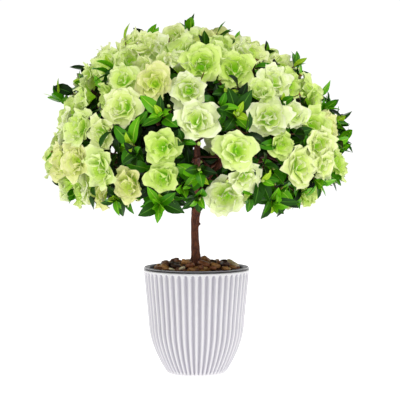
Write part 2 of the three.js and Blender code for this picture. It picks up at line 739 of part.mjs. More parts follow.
function makeMass(mass) {
  const { heading } = boughs.find((bough) => bough.mass === mass);
  const start = mass.entry.clone().addScaledVector(heading, GAP);
  const startFrame = frameAlong(heading);
  const way = mass.hub.clone().sub(start).normalize();
  const foot = ringAt(start, startFrame, TWIG.stem * 0.9, evenTurns(5));
  const top = ringAt(mass.hub, frameAlong(way, startFrame), TWIG.stem * 0.8, evenTurns(5));
  const end = mass.hub.clone().addScaledVector(way, 2);
  const stem = solidOf(surfaceOf([...capped(foot), ...band(foot, top), ...closing(top, end)]));
  const own = rootShoots(mass, start).map((shoot) => ({ shoot, whorl: planWhorl(shoot) }));
  const bare = own.map(({ shoot, whorl }) => solidOf(makeShoot(shoot, whorl, [])));
  let grown = wasm.Manifold.union([stem, ...bare]);
  const solids = own.map(({ shoot, whorl }) => {
    const kept = whorl.leaves.map((_, i) => i).filter((i) => {
      const blade = loneLeaf(whorl, i);
      const hasRoom = staysInside(mass, blade) && solidOf(blade).intersect(grown).isEmpty();
      if (hasRoom) grown = grown.add(solidOf(blade));
      return hasRoom;
    });
    return solidOf(makeShoot(shoot, whorl, kept));
  });
  return joined([stem, ...solids]);
}

const plant = new THREE.Group();
plant.add(namedMesh("pot_cover", makePotCover(), FINISHES.pot));
plant.add(namedMesh("pot_liner", makePotLiner(), FINISHES.liner));
plant.add(namedMesh("root_ball", makeRootBall(), FINISHES.soil));
plant.add(namedMesh("bark_mulch", makeBarkMulch(), FINISHES.mulch));
plant.add(namedMesh("trunk", makeTrunk(), FINISHES.bark));
for (const { mass, solid } of boughs) plant.add(namedMesh(`bough_${mass.name}`, solid, FINISHES.bark));
for (const mass of masses) plant.add(namedMesh(`mass_${mass.name}`, makeMass(mass), FINISHES.blossom));

export default plant;
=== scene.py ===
"""A double-flowered azalea trained as a small standard, in a white fluted pot, dressed on its solids.

Lengths are in millimetres until a mesh is made, because the crown grows by the rule of the part's own
source. The frame gives the pot, the liner, the soil and the stem their places.
"""

import logging
import math
from collections.abc import Sequence
from dataclasses import dataclass, field
from enum import Enum

import bpy
import numpy as np
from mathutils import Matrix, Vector
from numpy.linalg import norm


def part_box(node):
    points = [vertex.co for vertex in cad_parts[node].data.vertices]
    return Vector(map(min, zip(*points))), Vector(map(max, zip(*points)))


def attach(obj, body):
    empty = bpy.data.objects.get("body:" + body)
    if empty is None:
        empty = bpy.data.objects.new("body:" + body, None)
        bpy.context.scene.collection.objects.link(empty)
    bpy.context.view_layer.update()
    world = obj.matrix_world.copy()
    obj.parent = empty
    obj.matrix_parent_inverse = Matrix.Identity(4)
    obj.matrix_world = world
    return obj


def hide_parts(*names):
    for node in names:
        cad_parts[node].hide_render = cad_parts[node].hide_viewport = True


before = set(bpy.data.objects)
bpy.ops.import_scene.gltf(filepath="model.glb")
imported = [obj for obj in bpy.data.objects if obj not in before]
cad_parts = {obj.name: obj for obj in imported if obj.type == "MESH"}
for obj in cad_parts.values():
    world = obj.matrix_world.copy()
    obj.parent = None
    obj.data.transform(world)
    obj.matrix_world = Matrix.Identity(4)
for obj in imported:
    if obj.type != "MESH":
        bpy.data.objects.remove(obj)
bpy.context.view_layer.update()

Array = np.ndarray
Pair = tuple[float, float]
MM = 0.001
TURN = 2 * math.pi
GOLDEN_ANGLE = 137.508  # degrees, which spreads points evenly
UP = np.array([0.0, 0.0, 1.0])
BODY = "root"
log = logging.getLogger("azalea")


# Numbers and directions


def chance(seed: Array | float) -> Array:
    """Gives a fixed share between 0 and 1 for each seed, the fraction of a large multiple of a sine."""
    wave = np.sin(np.asarray(seed, float) * 12.9898) * 43758.5453
    return wave - np.floor(wave)


def varied(span: Pair, seed: Array) -> Array:
    """Gives each seed a fixed value: the span's first number, and up to its second number more."""
    return span[0] + span[1] * chance(seed)


def unit(vectors: Array) -> Array:
    """Scales each vector to a length of one."""
    return vectors / np.maximum(norm(vectors, axis=-1, keepdims=True), 1e-12)


def dot(first: Array, second: Array) -> Array:
    """Multiplies vectors pair by pair and keeps the last axis, so that the result scales a vector."""
    return np.sum(first * second, axis=-1, keepdims=True)


def eased(share: Array) -> Array:
    """Runs from 0 to 1 with a level start and end: 3 s squared less 2 s cubed."""
    s = np.clip(share, 0, 1)
    return s * s * (3 - 2 * s)


def square_to(ways: Array) -> tuple[Array, Array]:
    """Finds two directions square to each way and to each other.

    Args:
        ways: unit vectors, one in each row.

    Returns:
        Two arrays of unit vectors, which with the way make a right-handed frame.
    """
    helper = np.where(np.abs(ways[..., 2:3]) > 0.9, np.array([1.0, 0.0, 0.0]), UP)
    side = unit(np.cross(helper, ways))
    return side, np.cross(ways, side)


def round_about(turn: Array, side: Array, lift: Array) -> Array:
    """Gives directions round an axis: the cosine of the turn along one side plus its sine along the other."""
    return np.cos(turn)[..., None] * side + np.sin(turn)[..., None] * lift


def scattered(seed: Array, salt: int) -> Array:
    """Gives each seed a fixed vector whose parts lie between -0.5 and 0.5, from salts a hundred apart."""
    return np.stack([chance(seed + salt + step) - 0.5 for step in (0, 100, 200)], -1)


def kept_apart(places: Array, apart: float, taken: Array) -> list[int]:
    """Keeps the places that lie far enough from the taken ones and from those kept before them.

    Args:
        places: the places, in the order in which they are tried.
        apart: least distance between two places.
        taken: places that are taken already.

    Returns:
        The rows of the places that are kept.
    """
    held, kept = list(taken), []
    for i, place in enumerate(places):
        if not held or norm(np.array(held) - place, axis=1).min() > apart:
            held.append(place)
            kept.append(i)
    return kept


def lumps(points: Array, size: float, seed: int) -> Array:
    """Makes smooth unevenness: sine waves in seeded directions, summed and divided by their number's root.

    Args:
        points: places in millimetres, with the coordinates on the last axis.
        size: distance from crest to crest in millimetres.
        seed: picks the directions, lengths and phases of the waves.

    Returns:
        A height for each place, mostly between -1 and 1.
    """
    waves = 9
    rng = np.random.default_rng(seed)
    ways = unit(rng.normal(size=(waves, 3))) * (TURN / size) * rng.uniform(0.7, 1.5, (waves, 1))
    phases = rng.uniform(0, TURN, waves)
    return np.sin(points @ ways.T + phases).sum(-1) / math.sqrt(waves)


def looked_up(table: Array, place: Array) -> Array:
    """Reads each row of a table at places from 0 to 1, on the straight line between its entries.

    Args:
        table: one row of evenly spaced values for each petal.
        place: for each petal, an array of places of any shape.

    Returns:
        The values at those places.
    """
    last = table.shape[1] - 1
    at = np.clip(place, 0, 1) * last
    low = np.minimum(at.astype(int), last - 1)
    flat = low.reshape(len(table), -1)
    before = np.take_along_axis(table, flat, 1).reshape(low.shape)
    after = np.take_along_axis(table, flat + 1, 1).reshape(low.shape)
    return before + (after - before) * (at - low)


# Surfaces


@dataclass
class Surface:
    """Points in millimetres, faces of four corners (the last is -1 on a triangle) and their finish."""

    points: Array
    faces: Array
    finish: Array

    def painted(self, finish: Array | int) -> "Surface":
        """Gives the faces the numbers of their finishes."""
        self.finish = np.broadcast_to(np.asarray(finish), len(self.faces)).copy()
        return self


def grid(points: Array, closed: bool = False, flipped: bool = False) -> Surface:
    """Puts quads over grids of points: rows run along a shape and columns across or round it.

    Args:
        points: an array of grids, rows, columns and coordinates.
        closed: joins the last column to the first.
        flipped: turns the faces round.

    Returns:
        The surface, whose faces all have finish 0.
    """
    grids, rows, columns = points.shape[:3]
    row = np.arange(rows - 1)[:, None] * columns
    column = np.arange(columns if closed else columns - 1)[None, :]
    after = (column + 1) % columns
    corners = np.stack([row + column, row + after, row + columns + after, row + columns + column], -1)
    corners = corners.reshape(-1, 4)[:, ::-1] if flipped else corners.reshape(-1, 4)
    first = np.arange(grids)[:, None, None] * rows * columns
    faces = (corners[None] + first).reshape(-1, 4)
    return Surface(points.reshape(-1, 3), faces, np.zeros(len(faces), int))


def fans(rings: Array, centres: Array, backwards: bool) -> Array:
    """Makes the triangles that close each ring of point numbers on its centre.

    Args:
        rings: point numbers, one ring in each row.
        centres: the number of each ring's middle point.
        backwards: faces the triangles against the rings' turn.

    Returns:
        The faces, with -1 for the corner that a triangle lacks.
    """
    after = np.roll(rings, -1, axis=1)
    middle = np.broadcast_to(centres[:, None], rings.shape)
    first, second = (after, rings) if backwards else (rings, after)
    return np.stack([first, second, middle, np.full_like(rings, -1)], -1).reshape(-1, 4)


def closed_tubes(rings: Array, low: Array, high: Array) -> Surface:
    """Closes stacks of rings at both ends.

    Args:
        rings: an array of stacks, rings, corners and coordinates, turning to the left on the way up.
        low: the point that closes the first ring of each stack.
        high: the point that closes the last ring of each stack.

    Returns:
        The surface: first the faces between the ends, then those of the first ends and of the last.
    """
    count, rows, columns = rings.shape[:3]
    side = grid(rings, closed=True)
    numbers = np.arange(count * rows * columns).reshape(count, rows, columns)
    total = numbers.size
    lows, highs = np.arange(count) + total, np.arange(count) + total + count
    faces = [side.faces, fans(numbers[:, 0], lows, True), fans(numbers[:, -1], highs, False)]
    points = np.concatenate([side.points, low, high])
    faces = np.concatenate(faces)
    return Surface(points, faces, np.zeros(len(faces), int))


def tube_finish(sides: Array, low: Array | int, high: Array | int, shape: tuple[int, int, int]) -> Array:
    """Puts finishes in the order of closed tubes' faces: shape counts the tubes, face rows and corners."""
    ends = [np.broadcast_to(np.reshape(end, (-1, 1)), shape[::2]).ravel() for end in (low, high)]
    return np.concatenate([np.broadcast_to(sides, shape).ravel(), *ends])


def gathered(surfaces: list[Surface]) -> Surface:
    """Joins surfaces into one.

    Args:
        surfaces: the parts.

    Returns:
        One surface of all their points and faces, with their finishes.
    """
    starts = np.cumsum([0] + [len(s.points) for s in surfaces[:-1]])
    faces = [np.where(s.faces < 0, -1, s.faces + start) for s, start in zip(surfaces, starts)]
    points = np.concatenate([s.points for s in surfaces])
    return Surface(points, np.concatenate(faces), np.concatenate([s.finish for s in surfaces]))


def rings_along(paths: Array, corners: int) -> tuple[Array, Array, Array]:
    """Carries a ring along each path, turned no more than the path bends.

    Args:
        paths: an array of paths, steps and coordinates.
        corners: how many each ring has.

    Returns:
        The way ahead at every step, the turn of each corner, and the way to each corner at every step.
    """
    ahead = unit(np.gradient(paths, axis=1))
    side = square_to(ahead[:, 0])[0]
    sides = [side]
    for step in range(1, paths.shape[1]):
        side = unit(side - dot(side, ahead[:, step]) * ahead[:, step])
        sides.append(side)
    across = np.stack(sides, 1)
    turn = np.arange(corners) * TURN / corners
    return ahead, turn, round_about(turn, across[:, :, None], np.cross(ahead, across)[:, :, None])


def tubes(paths: Array, radii: Array, corners: int) -> Surface:
    """Wraps a round skin about each path: the path plus the radius round each turn of its frame.

    Args:
        paths: an array of paths, steps and coordinates.
        radii: an array of paths and steps.
        corners: how many each ring has.

    Returns:
        The skins, closed at both ends.
    """
    ahead, _, ring = rings_along(paths, corners)
    rings = paths[:, :, None] + radii[:, :, None, None] * ring
    blunt = 0.6  # height of the tip, as a share of its radius
    return closed_tubes(rings, paths[:, 0], paths[:, -1] + ahead[:, -1] * radii[:, -1:] * blunt)


def linked(name: str, data: bpy.types.ID) -> bpy.types.Object:
    """Puts a mesh, lamp or camera into the scene.

    Args:
        name: the object's name.
        data: the mesh, lamp or camera.

    Returns:
        The object.
    """
    made = bpy.data.objects.new(name, data)
    bpy.context.scene.collection.objects.link(made)
    return made


def make_piece(name: str, surface: Surface, finishes: Sequence["Finish"], slot: str, *nodes: str) -> None:
    """Makes a mesh of a surface and lets it stand for its solids.

    Args:
        name: the piece's name.
        surface: its points in millimetres, its faces and their finish numbers.
        finishes: the finishes that those numbers stand for.
        slot: not used.
        nodes: the solids that the piece replaces.
    """
    faces = surface.faces
    sizes = np.where(faces[:, 3] < 0, 3, 4)
    mesh = bpy.data.meshes.new(name)
    mesh.vertices.add(len(surface.points))
    mesh.vertices.foreach_set("co", (surface.points * MM).astype(np.float32).ravel())
    mesh.loops.add(int(sizes.sum()))
    mesh.loops.foreach_set("vertex_index", faces[faces >= 0].astype(np.int32))
    mesh.polygons.add(len(faces))
    mesh.polygons.foreach_set("loop_start", (np.cumsum(sizes) - sizes).astype(np.int32))
    mesh.polygons.foreach_set("material_index", surface.finish.astype(np.int32))
    mesh.polygons.foreach_set("use_smooth", np.ones(len(faces), bool))
    mesh.update(calc_edges=True)
    for finish in finishes:
        mesh.materials.append(finish.material())
    piece = linked(name, mesh)
    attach(piece, BODY)
    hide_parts(*nodes)
    log.info("%s: %d triangles, %d finishes", name, int((sizes - 2).sum()), len(finishes))


# Finishes


def linear(colour: str) -> tuple[float, float, float, float]:
    """Turns an sRGB hex colour into linear light, by the sRGB curve, with an alpha of 1."""
    parts = np.array(channels(colour)) / 255
    return (*np.where(parts <= 0.04045, parts / 12.92, ((parts + 0.055) / 1.055) ** 2.4).tolist(), 1.0)


def channels(colour: str) -> list[int]:
    """Reads the red, green and blue of an sRGB hex colour."""
    return [int(colour[i : i + 2], 16) for i in (1, 3, 5)]


def blended(first: str, second: str, share: float) -> str:
    """Mixes two sRGB hex colours and returns one, share 0 being the first."""
    mix = [round(a + (b - a) * share) for a, b in zip(channels(first), channels(second))]
    return "#" + "".join(f"{part:02X}" for part in mix)


def add_node(
    tree: bpy.types.NodeTree,
    kind: str,
    settings: dict | None = None,
    values: dict | None = None,
    links: dict | None = None,
) -> bpy.types.Node:
    """Adds a shader node.

    Args:
        tree: the node tree that it joins.
        kind: Blender's name for the kind of node.
        settings: the node's own properties.
        values: constants for its inputs, by name or number.
        links: outputs of other nodes for its inputs, by name or number.

    Returns:
        The node.
    """
    node = tree.nodes.new(kind)
    for name, value in (settings or {}).items():
        setattr(node, name, value)
    for name, value in (values or {}).items():
        node.inputs[name].default_value = value
    for name, output in (links or {}).items():
        tree.links.new(output, node.inputs[name])
    return node


def per_metre(size_mm: float) -> float:
    """Gives the noise scale on object coordinates for features of a size in millimetres."""
    return 1 / (size_mm * MM)


@dataclass(frozen=True)
class Finish:
    """A surface of one colour whose fine unevenness catches the light.

    The grain is noise on object coordinates, sized in millimetres and drawn out by stretch. It drives the
    relief, and on a finish with a second colour a coarser noise also mixes that colour in by patches. coat
    is a clear layer on top, sheen a soft bloom seen aslant, and glow the light that shines through.
    """

    name: str
    colour: str
    roughness: float
    grain_mm: float
    relief_mm: float
    second: str = ""
    patch_mm: float = 10.0
    stretch: tuple[float, float, float] = (1.0, 1.0, 1.0)
    coat: float = 0.0
    sheen: float = 0.0
    specular: float = 0.5
    glow: float = 0.0

    def material(self) -> bpy.types.Material:
        """Makes the Blender material, once only.

        Returns:
            The material, also when it was made before.
        """
        made = bpy.data.materials.get(self.name)
        if made:
            return made
        material = bpy.data.materials.new(self.name)
        material.use_nodes = True
        tree = material.node_tree
        tree.nodes.clear()
        place = add_node(tree, "ShaderNodeTexCoord")
        drawn = add_node(
            tree,
            "ShaderNodeMapping",
            values={"Scale": self.stretch},
            links={"Vector": place.outputs["Object"]},
        )
        grain = add_node(
            tree,
            "ShaderNodeTexNoise",
            values={"Scale": per_metre(self.grain_mm), "Detail": 4.0, "Roughness": 0.6},
            links={"Vector": drawn.outputs["Vector"]},
        )
        relief = add_node(
            tree,
            "ShaderNodeBump",
            values={"Strength": 1.0, "Distance": self.relief_mm * MM},
            links={"Height": grain.outputs["Fac"]},
        )
        surface = add_node(
            tree,
            "ShaderNodeBsdfPrincipled",
            values={
                "Base Color": linear(self.colour),
                "Roughness": self.roughness,
                "Coat Weight": self.coat,
                "Coat Roughness": 0.25,
                "Sheen Weight": self.sheen,
                "Specular IOR Level": self.specular,
                "Emission Color": linear(self.colour),
                "Emission Strength": self.glow,
            },
            links={"Normal": relief.outputs["Normal"]},
        )
        if self.second:
            self.mix_in_second(tree, drawn, surface)
        add_node(tree, "ShaderNodeOutputMaterial", links={"Surface": surface.outputs["BSDF"]})
        return material

    def mix_in_second(self, tree: bpy.types.NodeTree, drawn: bpy.types.Node, surface: bpy.types.Node) -> None:
        """Mixes the second colour into the base colour, in patches.

        Args:
            tree: the material's nodes.
            drawn: the node that gives the stretched coordinates.
            surface: the node that takes the colour.
        """
        patches = add_node(
            tree,
            "ShaderNodeTexNoise",
            values={"Scale": per_metre(self.patch_mm), "Detail": 5.0, "Roughness": 0.65},
            links={"Vector": drawn.outputs["Vector"]},
        )
        share = add_node(
            tree,
            "ShaderNodeMapRange",
            values={"From Min": 0.36, "From Max": 0.64},
            links={"Value": patches.outputs["Fac"]},
        )
        mix = add_node(
            tree,
            "ShaderNodeMix",
            settings={"data_type": "RGBA"},
            values={6: linear(self.colour), 7: linear(self.second)},
            links={0: share.outputs["Result"]},
        )
        tree.links.new(mix.outputs[2], surface.inputs["Base Color"])


# Satin glaze on white stoneware: soft broad highlights along the ribs. The flutes' flanks and hollows are
# painted greyer in two steps by their depth, painted shade that draws them as soft lines.
STONEWARE_GLAZE = tuple(
    Finish(f"satin_glazed_stoneware_{name}", colour, 0.38, 0.9, 0.012, coat=0.15)
    for name, colour in (("rib", "#DCDADD"), ("flank", "#C6C3CB"), ("flute", "#ACA9B3"))
)
# Injection-moulded polypropylene: near black with a dull sheen and a fine moulded grain.
MOULDED_POLYPROPYLENE = Finish(
    "moulded_polypropylene", "#100F14", 0.36, 0.5, 0.03, second="#19171E", patch_mm=12
)
# The flange's rounded edge: a painted highlight, a thin pale line of light over the near black wall.
PAINTED_HIGHLIGHT_POLYPROPYLENE = Finish("polished_polypropylene_edge", "#B3AFB8", 0.2, 0.5, 0.01, coat=0.6)
# Potting soil: moist dark peat crumbs that hardly shine.
PEAT = Finish("potting_peat", "#2C1D15", 0.95, 2.2, 1.2, second="#4A3324", patch_mm=5)
# Milled pine bark: moist nuggets from near black to cream, fibrous, with a soft wet shine.
BARK_COLOURS = (
    ("#4A2614", "#2A120A"), ("#84563C", "#5C3420"), ("#A0623A", "#6E3C1E"),
    ("#C08A4E", "#8E5C2C"), ("#DDB878", "#B98A4C"), ("#EBE0BC", "#C9B07E"),
)
PINE_BARK = tuple(
    Finish(f"milled_pine_bark_{i}", colour, 0.6, 1.6, 0.35, second=other, patch_mm=7, coat=0.2)
    for i, (colour, other) in enumerate(BARK_COLOURS)
)
# Azalea bark on the old stem: thin reddish-brown furrows along the stem, rough and dull.
STEM_BARK = Finish(
    "furrowed_azalea_bark", "#7A4022", 0.8, 1.1, 0.5, second="#3A170C", patch_mm=2.6, stretch=(1, 1, 0.4)
)
# Young wood: smoother brown bark on the twigs, and green bark on this year's growth.
TWIG_BARK = Finish("brown_twig_bark", "#56291A", 0.75, 1.2, 0.15)
GREEN_TWIG_BARK = Finish("green_twig_bark", "#7C8B40", 0.6, 1.2, 0.1)
# Bud scales: dry and brown at the foot of each bud.
BUD_SCALE = Finish("dry_bud_scale", "#8A5A2A", 0.7, 0.8, 0.1)
BUD_TIP = Finish("swelling_bud", "#BCD36A", 0.5, 0.8, 0.05)
# White studio floor: matt paper, lit a little from below.
STUDIO_PAPER = Finish("matt_studio_paper", "#FDFDFD", 0.9, 3.0, 0.01, specular=0.1, glow=0.55)


# The light that petals let through, strongest in the throat, and how many steps of colour it fades over.
THROAT_GLOW = 0.22
BLADE_GLOW = 0.09
GLOWING_STEPS = 3


@dataclass(frozen=True)
class PetalTint:
    """The colours of one kind of petal from its throat to its margin.

    Azalea petals are thin and crinkled like crepe, with a soft, dull surface. They let some light through,
    which the faint glow stands for.
    """

    name: str
    throat: str
    middle: str
    blade: str
    margin: str

    def steps(self, count: int) -> list[Finish]:
        """Divides the way from the throat to the margin into finishes, evenly between the four colours.

        Args:
            count: how many.

        Returns:
            The finishes, from the throat out.
        """
        stops = [self.throat, self.middle, self.blade, self.margin]
        found = []
        for i in range(count):
            at = i / (count - 1) * (len(stops) - 1)
            low = min(int(at), len(stops) - 2)
            colour = blended(stops[low], stops[low + 1], at - low)
            glow = float(THROAT_GLOW - (THROAT_GLOW - BLADE_GLOW) * eased(np.array(i / GLOWING_STEPS)))
            name = f"crinkled_petal_{self.name}_{i}"
            found.append(Finish(name, colour, 0.55, 1.4, 0.2, sheen=0.1, specular=0.3, glow=glow))
        return found


PETAL_STEPS = 8
PETAL_TINTS = (
    PetalTint("lime", "#8ED012", "#A8D632", "#BAD856", "#CFE088"),
    PetalTint("fresh", "#96D218", "#B0D93E", "#C2DB66", "#D6E39C"),
    PetalTint("straw", "#A0CC1E", "#BAD44A", "#CBD872", "#DEDF9E"),
    PetalTint("pale", "#94D01A", "#B2DA46", "#C9DC74", "#DFE6AC"),
    PetalTint("cream", "#9CD222", "#B8DB54", "#CDDE86", "#E2E8BE"),
)


class LeafAge(Enum):
    """How old a leaf is, with the sRGB colours of its blade and of the rib along its middle. The near black
    of OLD is partly old leaves' own colour and partly painted shade, for the deeper layers bear OLD leaves
    alone.
    """

    OLD = ("#0F2803", "#2C5414")
    MATURE = ("#1F4A06", "#4A7E20")
    FULL = ("#3A7C06", "#74A82C")
    YOUNG = ("#5EA60E", "#A2CA3E")
    NEW = ("#9AC124", "#CAE060")

    def finishes(self) -> list[Finish]:
        """Makes the leathery, finely pitted finishes with a soft shine.

        Returns:
            The finish of the blade and that of the rib.
        """
        name = self.name.lower()
        return [
            Finish(f"leathery_leaf_{name}_{part}", colour, 0.28, 1.6, 0.2, specular=0.12)
            for part, colour in zip(("blade", "rib"), self.value)
        ]


# The rule that the crown grows by, as in the part's source


@dataclass(frozen=True)
class Feature:
    """A part of the crown that differs from the rest, felt most at its middle, with its angles in degrees."""

    azimuth: float
    elevation: float
    share: float
    spread: float

    def felt(self, azimuth: Array, elevation: Array) -> Array:
        """Fades the share with the angle from the middle: times e to the minus square of angle over spread.

        Args:
            azimuth: of the directions.
            elevation: of the directions.

        Returns:
            What is felt of the share in each direction.
        """
        e, f = np.radians(elevation), math.radians(self.elevation)
        turn = np.radians(azimuth - self.azimuth)
        cosine = np.sin(e) * math.sin(f) + np.cos(e) * math.cos(f) * np.cos(turn)
        away = np.degrees(np.arccos(np.clip(cosine, -1, 1))) / self.spread
        return self.share * np.exp(-away * away)


def felt_in(features: tuple[Feature, ...], azimuth: Array, elevation: Array) -> Array:
    """Sums what several features give in a direction."""
    return sum(feature.felt(azimuth, elevation) for feature in features)


class Tier(Enum):
    """A tier of masses: its name, how many there are, their elevation and the first one's azimuth."""

    TOP = ("top", 1, 90.0, 0.0)
    SHOULDER = ("shoulder", 6, 47.0, 30.0)
    SKIRT = ("skirt", 9, 3.0, 30.0)


@dataclass
class Mass:
    """A mass of foliage: where its space lies, where its bough enters and where its stem divides."""

    tier: Tier
    name: str
    azimuth: float
    seed: Array
    entry: Array
    hub: Array
    path: Array = field(default_factory=lambda: np.zeros((0, 3)))


@dataclass
class Shoots:
    """The crown's shoots, one in each row: where each roots, bends and ends, and what it bears."""

    mass: Array
    axis: Array
    front: Array
    base: Array
    elbow: Array
    size: Array
    flowers: Array
    root: Array


def smooth_path(points: Array, count: int) -> Array:
    """Follows a centripetal Catmull-Rom curve through the points, in steps of equal length.

    Args:
        points: the points that the curve passes.
        count: how many points are wanted.

    Returns:
        Those points of the curve.
    """
    padded = np.concatenate([[2 * points[0] - points[1]], points, [2 * points[-1] - points[-2]]])
    fine = []
    for p0, p1, p2, p3 in zip(padded, padded[1:], padded[2:], padded[3:]):
        d0, d1, d2 = (math.sqrt(norm(b - a)) for a, b in ((p0, p1), (p1, p2), (p2, p3)))
        leave = ((p1 - p0) / d0 - (p2 - p0) / (d0 + d1) + (p2 - p1) / d1) * d1
        arrive = ((p2 - p1) / d1 - (p3 - p1) / (d1 + d2) + (p3 - p2) / d2) * d1
        t = np.linspace(0, 1, 61)[:, None]
        curve = p1 + leave * t + (3 * (p2 - p1) - 2 * leave - arrive) * t**2
        fine.append(curve + (2 * (p1 - p2) + leave + arrive) * t**3)
    line = np.concatenate([fine[0]] + [part[1:] for part in fine[1:]])
    length = np.concatenate([[0], np.cumsum(norm(np.diff(line, axis=0), axis=1))])
    wanted = np.linspace(0, length[-1], count)
    return np.stack([np.interp(wanted, length, line[:, axis]) for axis in range(3)], 1)


@dataclass
class CrownRule:
    """The crown's outline and the rule that its masses, boughs and shoots follow.

    Levels are shares of the way out from the crown's centre, and angles are in degrees.
    """

    centre: Array = field(default_factory=lambda: np.array([4.0, 0.0, 320.0]))
    reach: float = 236.0  # half the widest spread
    rise: float = 203.0  # from the widest level up to the top
    drop: float = 98.0  # from the widest level down to the bottom of the rounded outline
    hem: float = -33.0  # elevation where the foliage ends
    seat: float = 0.8  # level of a mass's middle
    bough_end: float = 0.5  # level where a bough enters its mass
    hub: float = 0.64  # level where a mass's stem divides
    shoots: int = 148
    crowding: float = 1.2  # above 1, shoots stand closer towards the top
    spacing: float = 70.0  # shoots of one mass nearer to each other than this push each other away
    push: float = 0.25  # share of its nearness by which a neighbour moves a shoot in one round
    rounds: int = 40
    level_scatter: float = 0.03  # how unevenly the shoots start out
    turn_scatter: float = 10.0
    lean: float = 0.3  # how far a shoot may lean away from straight out
    cell_margin: float = 24.0  # how far inside its mass's space a shoot ends
    leaf_margin: float = 9.0  # the same for a leafy shoot once it has settled
    flower_level: float = 0.975
    leaf_level: float = 0.9
    flowering: float = 0.92  # share of the shoots that flower outside the leafy parts
    flower_sizes: Pair = (0.9, 0.22)  # the smallest that is wanted, and how much larger
    least_size: float = 0.74
    shrinking: float = 0.06  # from one try to the next
    flower_radius: float = 26.5
    flower_depth: float = 23.0
    behind_flower: float = 11.0  # from a flower's base back to its whorl of leaves
    flower_spacing: float = 0.93  # share of two flowers' radii that they keep apart
    gap: float = 0.3
    fork: Array = field(default_factory=lambda: np.array([1.5, 0.0, 262.0]))  # where the lower leaders start
    top_start: float = 269.0  # height where the top leader starts
    fork_step: Pair = (1.0, 9.0)  # how far below the fork the leaders start in turn
    leader_bend: float = 0.45  # share of a leader where it bends
    leader_sag: float = 7.0
    limb_sag: float = 6.0
    wander: float = 8.0  # how far the middle of a leader strays to the sides
    limb_feet: Pair = (0.2, 0.12)  # share of a leader where its limbs start in turn
    path_steps: int = 100
    stem_joint: float = 0.55  # share of a mass's stem where its first twigs may root
    length_cost: float = 0.35  # what a twig's way back to the stem costs against its own length
    bend_cost: float = 40.0  # a square turn costs as much as this many millimetres of way
    uneven: tuple[Feature, ...] = (
        Feature(180, 55, 0.07, 15),
        Feature(180, 16, -0.08, 12),
        Feature(0, 66, -0.12, 14),
        Feature(0, 32, -0.06, 13),
        Feature(0, -24, -0.15, 18),
    )
    leafy: tuple[Feature, ...] = (
        Feature(-89, 0, 1.1, 13),
        Feature(-90, -33, 0.3, 9),
        Feature(-103, 20, 0.9, 8),
        Feature(-117, 8, 0.6, 8),
        Feature(-76, 27, 1.0, 11),
        Feature(-62, -17, 0.9, 8),
        Feature(-50, -34, 1.1, 13),
        Feature(-6, 8, 0.9, 17),
        Feature(-89, 49, -0.15, 10),
        Feature(60, 20, 0.5, 24),
        Feature(150, 30, 0.4, 20),
    )
    masses: list[Mass] = field(default_factory=list)

    def at(self, azimuth: Array | float, elevation: Array | float, share: float = 1.0) -> Array:
        """Gives points of the crown: two half ellipsoids, made uneven and scaled about their centre.

        Args:
            azimuth: of the points.
            elevation: of the points.
            share: scale about the centre.

        Returns:
            The points.
        """
        azimuth, elevation = np.broadcast_arrays(np.asarray(azimuth, float), np.asarray(elevation, float))
        a, e = np.radians(azimuth), np.radians(elevation)
        height = np.where(e > 0, self.rise, self.drop)
        uneven = 1 + felt_in(self.uneven, azimuth, elevation)
        flat = self.reach * np.cos(e)
        offset = np.stack([flat * np.cos(a), flat * np.sin(a), height * np.sin(e)], -1)
        return offset * (share * uneven)[..., None] + self.centre

    def direction(self, points: Array) -> tuple[Array, Array]:
        """Finds where points lie as seen from the crown's centre.

        Args:
            points: places in the crown.

        Returns:
            The azimuth and elevation of each.
        """
        offset = points - self.centre
        height = np.where(offset[..., 2] > 0, self.rise, self.drop)
        across = np.hypot(offset[..., 0], offset[..., 1]) / self.reach
        elevation = np.degrees(np.arctan2(offset[..., 2] / height, across))
        return np.degrees(np.arctan2(offset[..., 1], offset[..., 0])), np.maximum(self.hem, elevation)

    def outward(self, points: Array) -> Array:
        """Finds the way out of the crown: the slope of its outline, with a deeper lower half.

        Args:
            points: places in the crown.

        Returns:
            A unit vector for each.
        """
        offset = points - self.centre
        height = np.where(offset[..., 2:] > 0, self.rise, self.drop * 1.6)
        flat = offset[..., :2] / self.reach**2
        return unit(np.concatenate([flat, offset[..., 2:] / height**2], -1))

    def seeds(self) -> Array:
        """Gives the middle of every mass's space."""
        return np.array([mass.seed for mass in self.masses])

    def nearest_mass(self, points: Array) -> Array:
        """Gives the number of the mass whose middle is nearest to each point."""
        return np.argmin(norm(points[:, None] - self.seeds()[None], axis=-1), 1)

    def plan_masses(self) -> None:
        """Places the masses, tier by tier, and lays the boughs that lead to them."""
        for tier in Tier:
            name, count, elevation, first = tier.value
            for i in range(count):
                azimuth = first + 360 / count * i
                levels = (self.seat, self.bough_end, self.hub)
                places = [self.at(azimuth, elevation, level) for level in levels]
                label = f"{name}_{i + 1}" if count > 1 else name
                self.masses.append(Mass(tier, label, azimuth, *places))
        self.lay_boughs()

    def lay_boughs(self) -> None:
        """Lays the leaders from the fork, and the skirt's limbs from the shoulder leader nearest to each."""
        leaders = [mass for mass in self.masses if mass.tier is not Tier.SKIRT]
        for order, mass in enumerate(leaders):
            start = self.fork - UP * self.fork_step[order % 2]
            sag = self.leader_sag
            if mass.tier is Tier.TOP:
                start[2], sag = self.top_start, 0
            middle = start + (mass.entry - start) * self.leader_bend - UP * sag
            aside = np.array([chance(order + 71) - 0.5, chance(order + 81) - 0.5, 0.0])
            mass.path = np.array([start, middle + aside * self.wander, mass.entry])
        shoulders = [mass for mass in leaders if mass.tier is Tier.SHOULDER]
        for order, mass in enumerate(m for m in self.masses if m.tier is Tier.SKIRT):
            apart = [abs((mass.azimuth - other.azimuth + 180) % 360 - 180) for other in shoulders]
            parent = smooth_path(shoulders[int(np.argmin(apart))].path, self.path_steps + 1)
            first, further = self.limb_feet
            start = parent[round(self.path_steps * (first + further * (order % 3)))]
            middle = (start + mass.entry) / 2 - UP * self.limb_sag
            mass.path = np.array([start, middle, mass.entry])

